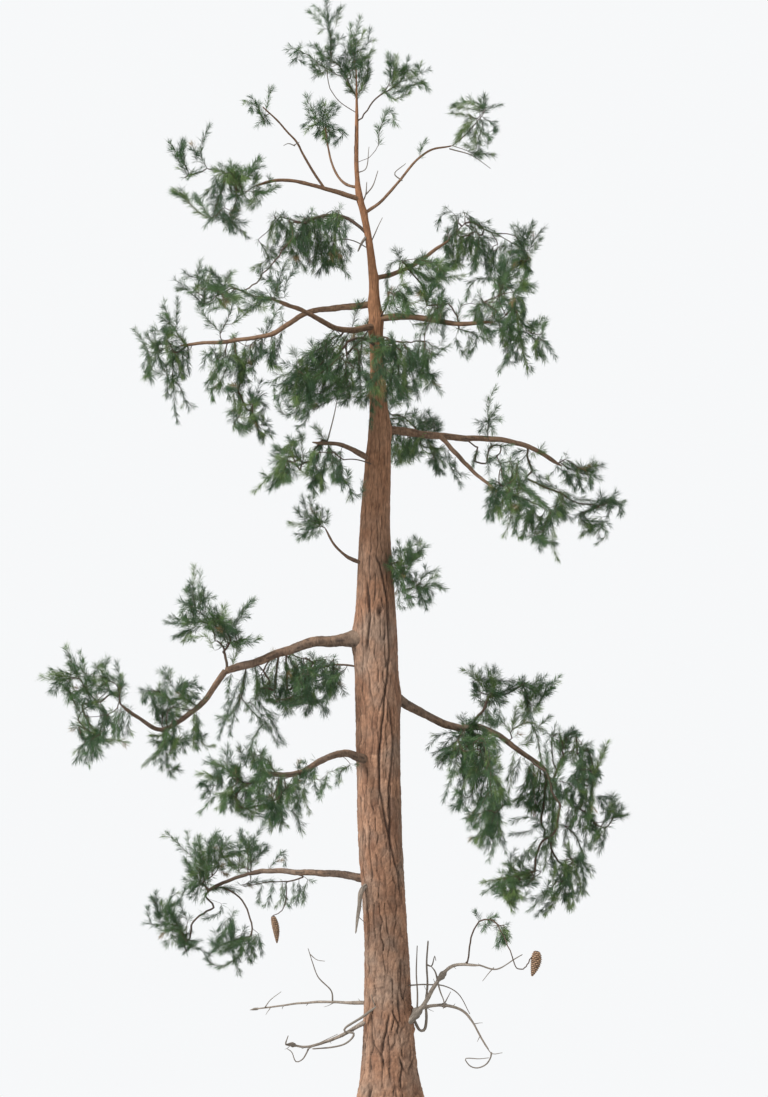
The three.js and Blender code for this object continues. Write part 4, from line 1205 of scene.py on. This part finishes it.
print("clusters grown,", grown["count"], "places and", len(tufts), "tufts")

# The twigs: each place of the growth is as thick as the tips that it feeds make it
places, parents, carriers = (grown[part][:grown["count"]] for part in ("place", "parent", "carrier"))
tips = np.zeros(len(places))
mainChild = np.full(len(places), -1)
for index in range(len(places) - 1, -1, -1):
    tips[index] = max(tips[index], grown["load"][index])
    parent = parents[index]
    if parent >= 0:
        tips[parent] += tips[index]
        if mainChild[parent] < 0 or tips[index] > tips[mainChild[parent]]:
            mainChild[parent] = index
radii = twigSizes["tipRadius"] * tips ** twigSizes["growth"]


def joinedMesh(name, corners, faces, material):
    mesh = bpy.data.meshes.new(name)
    mesh.vertices.add(len(corners))
    mesh.vertices.foreach_set("co", corners.astype(np.float32).ravel())
    mesh.loops.add(faces.size)
    mesh.loops.foreach_set("vertex_index", faces.astype(np.int32).ravel())
    mesh.polygons.add(len(faces))
    mesh.polygons.foreach_set("loop_start", np.arange(len(faces), dtype=np.int32) * faces.shape[1])
    mesh.update(calc_edges=True)
    mesh.validate()
    return addPiece(name, mesh, material)


class TubeSet:
    # many closed tubes that end in points, gathered for one mesh
    def __init__(self):
        self.corners, self.faces, self.count = [], [], 0

    def add(self, line, radii, sides):
        # a radius for each place of the line, or one for each place and side
        along = unit(np.gradient(line, axis=0))
        side = np.cross(along[0], [0.13, 0.31, 0.94])
        turn = np.arange(sides) / sides * fullTurn
        block = [line[0] - along[0] * np.mean(radii[0]) * 0.5]
        for index in range(len(line)):
            side = unit(side - along[index] * side.dot(along[index]))
            top = np.cross(along[index], side)
            block.extend(line[index] + np.reshape(radii[index], (-1, 1)) * (
                np.cos(turn)[:, None] * side + np.sin(turn)[:, None] * top))
        block.append(line[-1] + along[-1] * np.mean(radii[-1]) * 2.0)
        here = np.arange(sides)
        beside = (here + 1) % sides
        base = self.count + 1
        self.faces.append(np.stack([np.full(sides, self.count), base + beside, base + here], -1))
        for low in range(base, base + (len(line) - 1) * sides, sides):
            high = low + sides
            self.faces.append(np.stack([low + here, low + beside, high + beside], -1))
            self.faces.append(np.stack([low + here, high + beside, high + here], -1))
        last = base + (len(line) - 1) * sides
        self.faces.append(np.stack([last + here, last + beside, np.full(sides, last + sides)], -1))
        self.corners.append(np.array(block))
        self.count += len(block)

    def build(self, name, material):
        return joinedMesh(name, np.vstack(self.corners), np.vstack(self.faces), material)


twigSet = TubeSet()
for index, parent in enumerate(parents):
    if parent < 0 or (parents[parent] >= 0 and mainChild[parent] == index):
        continue
    chain = [index]
    while mainChild[chain[-1]] >= 0:
        chain.append(mainChild[chain[-1]])
    line = np.vstack([places[parent], places[chain]])
    lineRadii = np.concatenate([[radii[index] * twigSizes["footSwell"]], radii[chain]])
    if carriers[parent] > 0.0:
        lineRadii = np.minimum(lineRadii, carriers[parent] * twigSizes["ofCarrier"])
    sides = 6 if lineRadii[0] > twigSizes["sixSided"] else 4 if lineRadii[0] > twigSizes["fourSided"] else 3
    twigSet.add(line, lineRadii, sides)
twigs = twigSet.build("twigs", twigBark)
print("twigs made,", len(twigSet.corners), "twigs and", len(twigs.data.polygons), "triangles")

# Dead twigs: how far back they lie, their radius, and places to the right and up, in turn
deadTwigs = [
    (-0.3, 0.024, [0.38,2.5, 0.46,2.34, 0.56,2.17, 0.63,2.18, 0.67,2.36, 0.66,2.66, 0.69,3.0, 0.675,3.38,
                   0.7,3.77]),
    (-0.3, 0.015, [0.46,2.34, 0.5,2.55, 0.51,2.85, 0.49,3.2, 0.505,3.7]),
    (-0.38, 0.012, [0.68,3.36, 0.76,3.33, 0.82,3.52, 0.84,3.44]),
    (-0.55, 0.016, [0.87,3.1, 0.82,3.28, 0.76,3.36]),
    (-0.55, 0.012, [0.86,3.12, 0.98,3.26, 1.02,3.22]),
    (-0.5, 0.014, [0.86,3.12, 0.92,2.9, 0.98,2.74, 0.97,2.62]),
    (-0.35, 0.01, [1.0,2.72, 1.06,2.84, 1.1,2.92]),
    (-0.2, 0.012, [0.34,2.98, 0.65,3.0, 0.98,2.98, 1.24,2.84, 1.45,2.48]),
    (-1.05, 0.014, [1.6,3.43, 1.9,3.36, 2.22,3.54, 2.36,3.62]),
    (-1.0, 0.008, [1.86,3.39, 1.76,3.28, 1.66,3.16]),
    (-0.5, 0.009, [1.72,1.96, 1.84,1.8, 2.02,1.82]),
    (0.4, 0.012, [-1.02,2.62, -1.04,2.82, -1.28,3.08, -1.38,3.34, -1.46,3.6]),
    (0.4, 0.008, [-1.43,3.5, -1.3,3.4, -1.16,3.38]),
    (0.8, 0.008, [-2.26,2.48, -2.16,2.62, -1.96,2.78]),
    (-0.7, 0.016, [-1.72,1.97, -1.84,1.98, -1.8,2.14]),
    (-0.7, 0.012, [-1.44,1.88, -1.55,1.7, -1.66,1.66, -1.74,1.84, -1.82,1.9]),
    (-0.65, 0.009, [-1.46,1.88, -1.2,2.02, -0.92,2.16]),
    (0.1, 0.012, [-0.5,17.02, -0.42,17.2, -0.4,17.42]),
    (0.1, 0.011, [-0.42,17.2, -0.3,17.34, -0.2,17.62]),
    (0.1, 0.009, [-0.55,17.6, -0.42,17.66, -0.36,18.05]),
    (0.05, 0.01, [-0.33,16.33, -0.24,16.53, -0.2,16.62, -0.12,16.78]),
    (0.0, 0.025, [-0.38,16.47, -0.48,16.34, -0.555,16.18]),
    (0.85, 0.01, [1.1,18.1, 1.5,17.98, 1.84,17.74]),
    (0.3, 0.01, [0.24,17.48, 0.1,17.6, 0.3,17.78]),
    (-0.4, 0.009, [-1.68,18.02, -1.8,18.06, -1.88,18.02]),
    (-0.4, 0.009, [-1.7,18.03, -1.6,18.08]),
    (-0.7, 0.011, [-1.1,12.74, -0.98,13.2, -0.9,13.6]),
    (-0.5, 0.012, [1.83,1.82, 1.82,1.74, 1.76,1.63, 1.68,1.57, 1.57,1.54, 1.46,1.57, 1.38,1.66, 1.36,1.71,
                   1.42,1.72, 1.6,1.71, 1.78,1.73]),
    (-0.38, 0.021, [-0.22,2.62, -0.5,2.42, -0.79,2.23, -0.8,2.18, -0.63,2.14, -0.66,2.06, -0.8,1.95,
                    -1.08,1.89, -1.36,1.87]),
    (-0.4, 0.009, [-0.24,2.6, -0.28,2.72, -0.32,2.84]),
]
# Burrs on the dead limbs: to the right and up, how long and how thick
burrs = [
    dict(limb="dead_right", at=(0.88, 3.25), long=0.36, thick=0.052),
    dict(limb="dead_right", at=(0.5, 2.47), long=0.5, thick=0.066),
    dict(limb="dead_droop", at=(0.98, 2.68), long=0.2, thick=0.038),
    dict(limb="dead_left", at=(-1.76, 2.0), long=0.34, thick=0.038),
    dict(limb="dead_back_left", at=(-2.45, 2.45), long=0.24, thick=0.022),
]
deadSizes = {
    "step": 0.04, "sides": 7, "swell": 1.25, "thinTo": 0.45, "joinWithin": 0.07, "forward": 0.08,
    "crooked": 0.03, "crookedSize": 0.15, "lumps": 0.12, "lumpSize": 0.07,
    "burrSides": 12, "burrStep": 0.02, "stubsFrom": 10, "stubsEvery": 5,
    "stubShare": 0.75, "stubLength": (0.05, 0.26), "stubRadius": (0.009, 0.003), "stubSides": 5,
}
deadSet = TubeSet()
carrying = list(limbLines.values())
for index, (back, radius, points) in enumerate(deadTwigs):
    points = [(right, back, height) for right, height in pairs(points)]
    line = evenly(throughPoints(points, 12), deadSizes["step"])
    crook = deadSizes["crooked"] * softNoise(line, deadSizes["crookedSize"], 900 + index)
    line[:, 1] += crook + np.linspace(0.0, -deadSizes["forward"], len(line))
    # the foot moves back or forward into the trunk or onto the limb or twig that carries it
    foot, middle, radiusThere = line[0], trunkMiddle(line[0, 2]), trunkRadius(line[0, 2])
    apart = np.vstack(carrying) - foot
    apart = apart[np.hypot(apart[:, 0], apart[:, 2]) < deadSizes["joinWithin"], 1]
    if abs(foot[0] - middle[0]) < radiusThere:
        chord = 0.9 * math.sqrt(radiusThere ** 2 - (foot[0] - middle[0]) ** 2)
        line[:, 1] += np.clip(foot[1], middle[1] - chord, middle[1] + chord) - foot[1]
    elif len(apart):
        line[:, 1] += apart[np.argmin(np.abs(apart))]
    else:
        print("dead twig", index, "stands apart")
    carrying.append(line)
    lumps = 1.0 + deadSizes["lumps"] * softNoise(line, deadSizes["lumpSize"], 950 + index)
    thin = np.linspace(1.0, deadSizes["thinTo"], len(line)) * lumps
    deadSet.add(line, radius * deadSizes["swell"] * thin, deadSizes["sides"])
for index, burr in enumerate(burrs):
    line = limbLines[burr["limb"]]
    place = line[np.argmin(np.hypot(line[:, 0] - burr["at"][0], line[:, 2] - burr["at"][1]))]
    line = evenly(line, deadSizes["burrStep"])
    line = line[np.linalg.norm(line - place, axis=1) < burr["long"] * 0.5]
    share = np.linspace(0.0, math.pi, len(line))[:, None]
    turn = np.arange(deadSizes["burrSides"]) / deadSizes["burrSides"] * fullTurn
    lumps = 1.0 + 0.2 * np.sin(2 * turn + share * 1.7 + index) + 0.18 * np.sin(5 * turn - share * 4.0)
    deadSet.add(line, burr["thick"] * np.sin(share * 0.9 + 0.15) * lumps, deadSizes["burrSides"])
# stubs and thin dead shoots along the dead limbs
for name, limb in limbs.items():
    if not limb.get("dead", False):
        continue
    line = limbLines[name]
    ways = unit(np.gradient(line, axis=0))
    for index in range(deadSizes["stubsFrom"], len(line) - 2, deadSizes["stubsEvery"]):
        if random.random() < deadSizes["stubShare"]:
            aside = unit(unit(np.cross(ways[index], random.normal(size=3))) + ways[index] * 0.7 + up * 0.2)
            length = random.uniform(*deadSizes["stubLength"])
            shoot = line[index] + aside * np.linspace(0.0, length, 4)[:, None]
            shoot += random.normal(0.0, 0.01, shoot.shape) * np.linspace(0.0, 1.0, 4)[:, None]
            deadSet.add(shoot, np.linspace(*deadSizes["stubRadius"], 4), deadSizes["stubSides"])
deadSet.build("dead_twigs", deadTwigBark)
print("dead twigs made,", len(deadSet.corners))

# The cones: closed bodies with rows of scales that point to the tip
coneSizes = {"sides": 64, "rows": 104, "scaleRows": 13, "scalesAround": 8, "scaleRise": 0.26, "bend": 0.02}


def coneShape(start, end, wide):
    # the shape of a cone for wrappedSkin
    axis = unit(end - start)
    side = unit(np.cross(axis, [0.0, 1.0, 0.0]))
    front = np.cross(side, axis)

    def shape(around, share):
        turn = around * fullTurn
        outward = side * np.cos(turn)[:, None] + front * np.sin(turn)[:, None]
        middle = start + (end - start) * share[:, None]
        middle[:, 0] += coneSizes["bend"] * np.sin(share * math.pi)
        row = np.floor(share * coneSizes["scaleRows"] * 0.999)
        rise = share * coneSizes["scaleRows"] - row
        column = coneSizes["scalesAround"] * around + 0.5 * np.mod(row, 2.0)
        across = np.abs(np.sin(math.pi * column))
        lifted = smoothStep(0.0, 0.75, rise) * (1.0 - smoothStep(0.9, 1.0, rise)) * across ** 0.6
        profile = np.sin(math.pi * np.clip(share * 0.93 + 0.05, 0.0, 1.0) ** 0.7) ** 0.75
        reach = wide * profile * (1.0 + coneSizes["scaleRise"] * (lifted - 0.5)) + 0.004
        tone = hashed(np.mod(np.floor(column), coneSizes["scalesAround"]).astype(int), row.astype(int))
        return middle + outward * reach[:, None], smoothStep(0.05, 0.6, lifted), tone

    return shape


cones = {name: cluster["cone"] for name, cluster in clusters.items() if "cone" in cluster}
for name, cone in cones.items():
    wrappedSkin("cone_" + name, coneSizes["sides"], coneSizes["rows"],
                coneShape(*cone["line"], cone["wide"]), coneScales)
print("cones made,", len(cones))

# The needles: two small faces each, bent along the middle, in sprays on the twig ends
needleSizes = {
    "width": 0.0062, "bend": 0.45, "droop": 0.35, "tipDroop": 0.7, "season": 0.16,
    "countChange": (0.85, 1.15), "lengthChange": (0.88, 1.12), "pieceLimit": 95000,
}
needleTints = {
    "fresh": dict(colour=(0.105, 0.165, 0.045), share=0.16),
    "middle": dict(colour=(0.055, 0.110, 0.034), share=0.38),
    "deep": dict(colour=(0.030, 0.070, 0.026), share=0.43),
    "old": dict(colour=(0.190, 0.130, 0.050), share=0.03),
}
tuftKinds = {
    # needles for each end and for each metre, length, spread at the tip, more further back, droop
    "plain": dict(needles=(84, 0), length=(0.13, 0.2), open=(6.0, 52.0), back=30.0, droop=0.2),
    "hanging": dict(needles=(84, 0), length=(0.14, 0.21), open=(6.0, 44.0), back=22.0, droop=0.6),
    "shoot": dict(needles=(46, 235), length=(0.10, 0.165), open=(6.0, 44.0), back=24.0, droop=0.18),
    "side": dict(needles=(34, 0), length=(0.09, 0.15), open=(8.0, 48.0), back=24.0, droop=0.18),
}
tintNames = list(needleTints)
tintEdges = np.cumsum([tint["share"] for tint in needleTints.values()])
sprays = {tint: [] for tint in tintNames}
for tuft in tufts:
    kind, brush = tuftKinds[tuft["kind"]], tuft["brush"]
    forEnd, forMetre = kind["needles"]
    count = int((forEnd + forMetre * brush) * random.uniform(*needleSizes["countChange"]))
    # the stretch of twig behind the end that carries needles
    index, length = tuft["end"], 0.0
    line = [places[index]]
    while parents[index] >= 0 and length < brush:
        index = parents[index]
        length += np.linalg.norm(places[index] - line[-1])
        line.append(places[index])
    line = np.array(line)
    lengths = lengthsAlong(line)
    # each season's growth carries most of its needles near its end
    reach = min(brush, lengths[-1])
    seasons = max(1, round(reach / needleSizes["season"]))
    behind = random.random(count) ** 1.5
    back = (np.floor(random.random(count) * seasons) + behind) * reach / seasons
    foot = placesAlong(line, lengths, back)
    forward = unit(foot - placesAlong(line, lengths, back + 0.04) + unit(line[0] - line[1]) * 1e-3)
    aside = unit(np.cross(forward, random.normal(size=(count, 3))))
    opened = np.radians(random.uniform(*kind["open"], count) * (1.0 - 0.3 * behind) + kind["back"] * behind)
    way = forward * np.cos(opened)[:, None] + aside * np.sin(opened)[:, None]
    way = unit(way - up * needleSizes["droop"] * kind["droop"])
    farWay = unit(way - up * needleSizes["tipDroop"] * kind["droop"])
    size = random.uniform(*kind["length"], count) * random.uniform(*needleSizes["lengthChange"])
    middle = foot + way * (size * needleSizes["bend"])[:, None]
    tip = middle + farWay * (size * (1.0 - needleSizes["bend"]))[:, None]
    flank = unit(np.cross(way, random.normal(size=(count, 3)))) * (needleSizes["width"] * 0.5)
    # only the inner sprays turn brown
    tint = tintNames[min(int(np.searchsorted(tintEdges, random.random())), len(tintNames) - 1)]
    if tint == "old" and tuft["kind"] == "shoot":
        tint = "deep"
    sprays[tint].append(np.stack([foot, middle + flank, tip, middle - flank], 1))
for tint, kites in sprays.items():
    material = Shading("needles " + tint).finish({
        "Base Color": needleTints[tint]["colour"], "Roughness": 0.5, "Specular IOR Level": 0.35})
    kites = np.concatenate(kites)
    for number, start in enumerate(range(0, len(kites), needleSizes["pieceLimit"]), 1):
        part = kites[start:start + needleSizes["pieceLimit"]]
        first = np.arange(len(part))[:, None] * 4
        faces = np.concatenate([first + [0, 1, 3], first + [1, 2, 3]], 1).reshape(-1, 3)
        joinedMesh(
            "needles_%s_%d" % (tint, number), part.reshape(-1, 3), faces, material)
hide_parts(*["needles_" + name for name in clusters])

# A pale floor, even light from all round, a soft sun and the camera of the drawing
floorSizes = {"radius": 7.2, "height": -0.02, "segments": 96}
form = bmesh.new()
bmesh.ops.create_circle(form, cap_ends=True, radius=floorSizes["radius"], segments=floorSizes["segments"])
bmesh.ops.translate(form, verts=form.verts, vec=(0.0, 0.0, floorSizes["height"]))
floorMesh = bpy.data.meshes.new("floor")
form.to_mesh(floorMesh)
form.free()
floorMesh.materials.append(Shading("pale floor").finish({"Base Color": (0.50, 0.50, 0.49), "Roughness": 0.9}))
floor = addObject("floor", floorMesh)

lightSizes = {"sky": (0.93, 0.94, 0.95, 1.0), "skyStrength": 1.0, "sun": 4.4, "sunWidth": 12.0,
              "sunTilt": 50.0, "sunTurn": -52.0}
world = bpy.data.worlds.new("studio")
world.use_nodes = True
background = world.node_tree.nodes["Background"]
background.inputs["Color"].default_value = lightSizes["sky"]
background.inputs["Strength"].default_value = lightSizes["skyStrength"]
bpy.context.scene.world = world
sun = addObject("soft sun", bpy.data.lights.new("soft sun", "SUN"))
sun.data.energy = lightSizes["sun"]
sun.data.angle = math.radians(lightSizes["sunWidth"])
sun.rotation_euler = (math.radians(lightSizes["sunTilt"]), 0.0, math.radians(lightSizes["sunTurn"]))

cameraSizes = {"place": (-0.09, -80.0, 10.83), "lens": 145.85, "sensor": 36.0, "sight": 400.0}
camera = addObject("camera", bpy.data.cameras.new("camera"))
camera.data.lens = cameraSizes["lens"]
camera.data.sensor_width = cameraSizes["sensor"]
camera.data.sensor_fit = "AUTO"
camera.data.clip_end = cameraSizes["sight"]
camera.location = cameraSizes["place"]
camera.rotation_euler = (math.radians(90.0), 0.0, 0.0)
bpy.context.scene.camera = camera
bpy.context.scene.view_settings.view_transform = "Standard"
print("stage set")
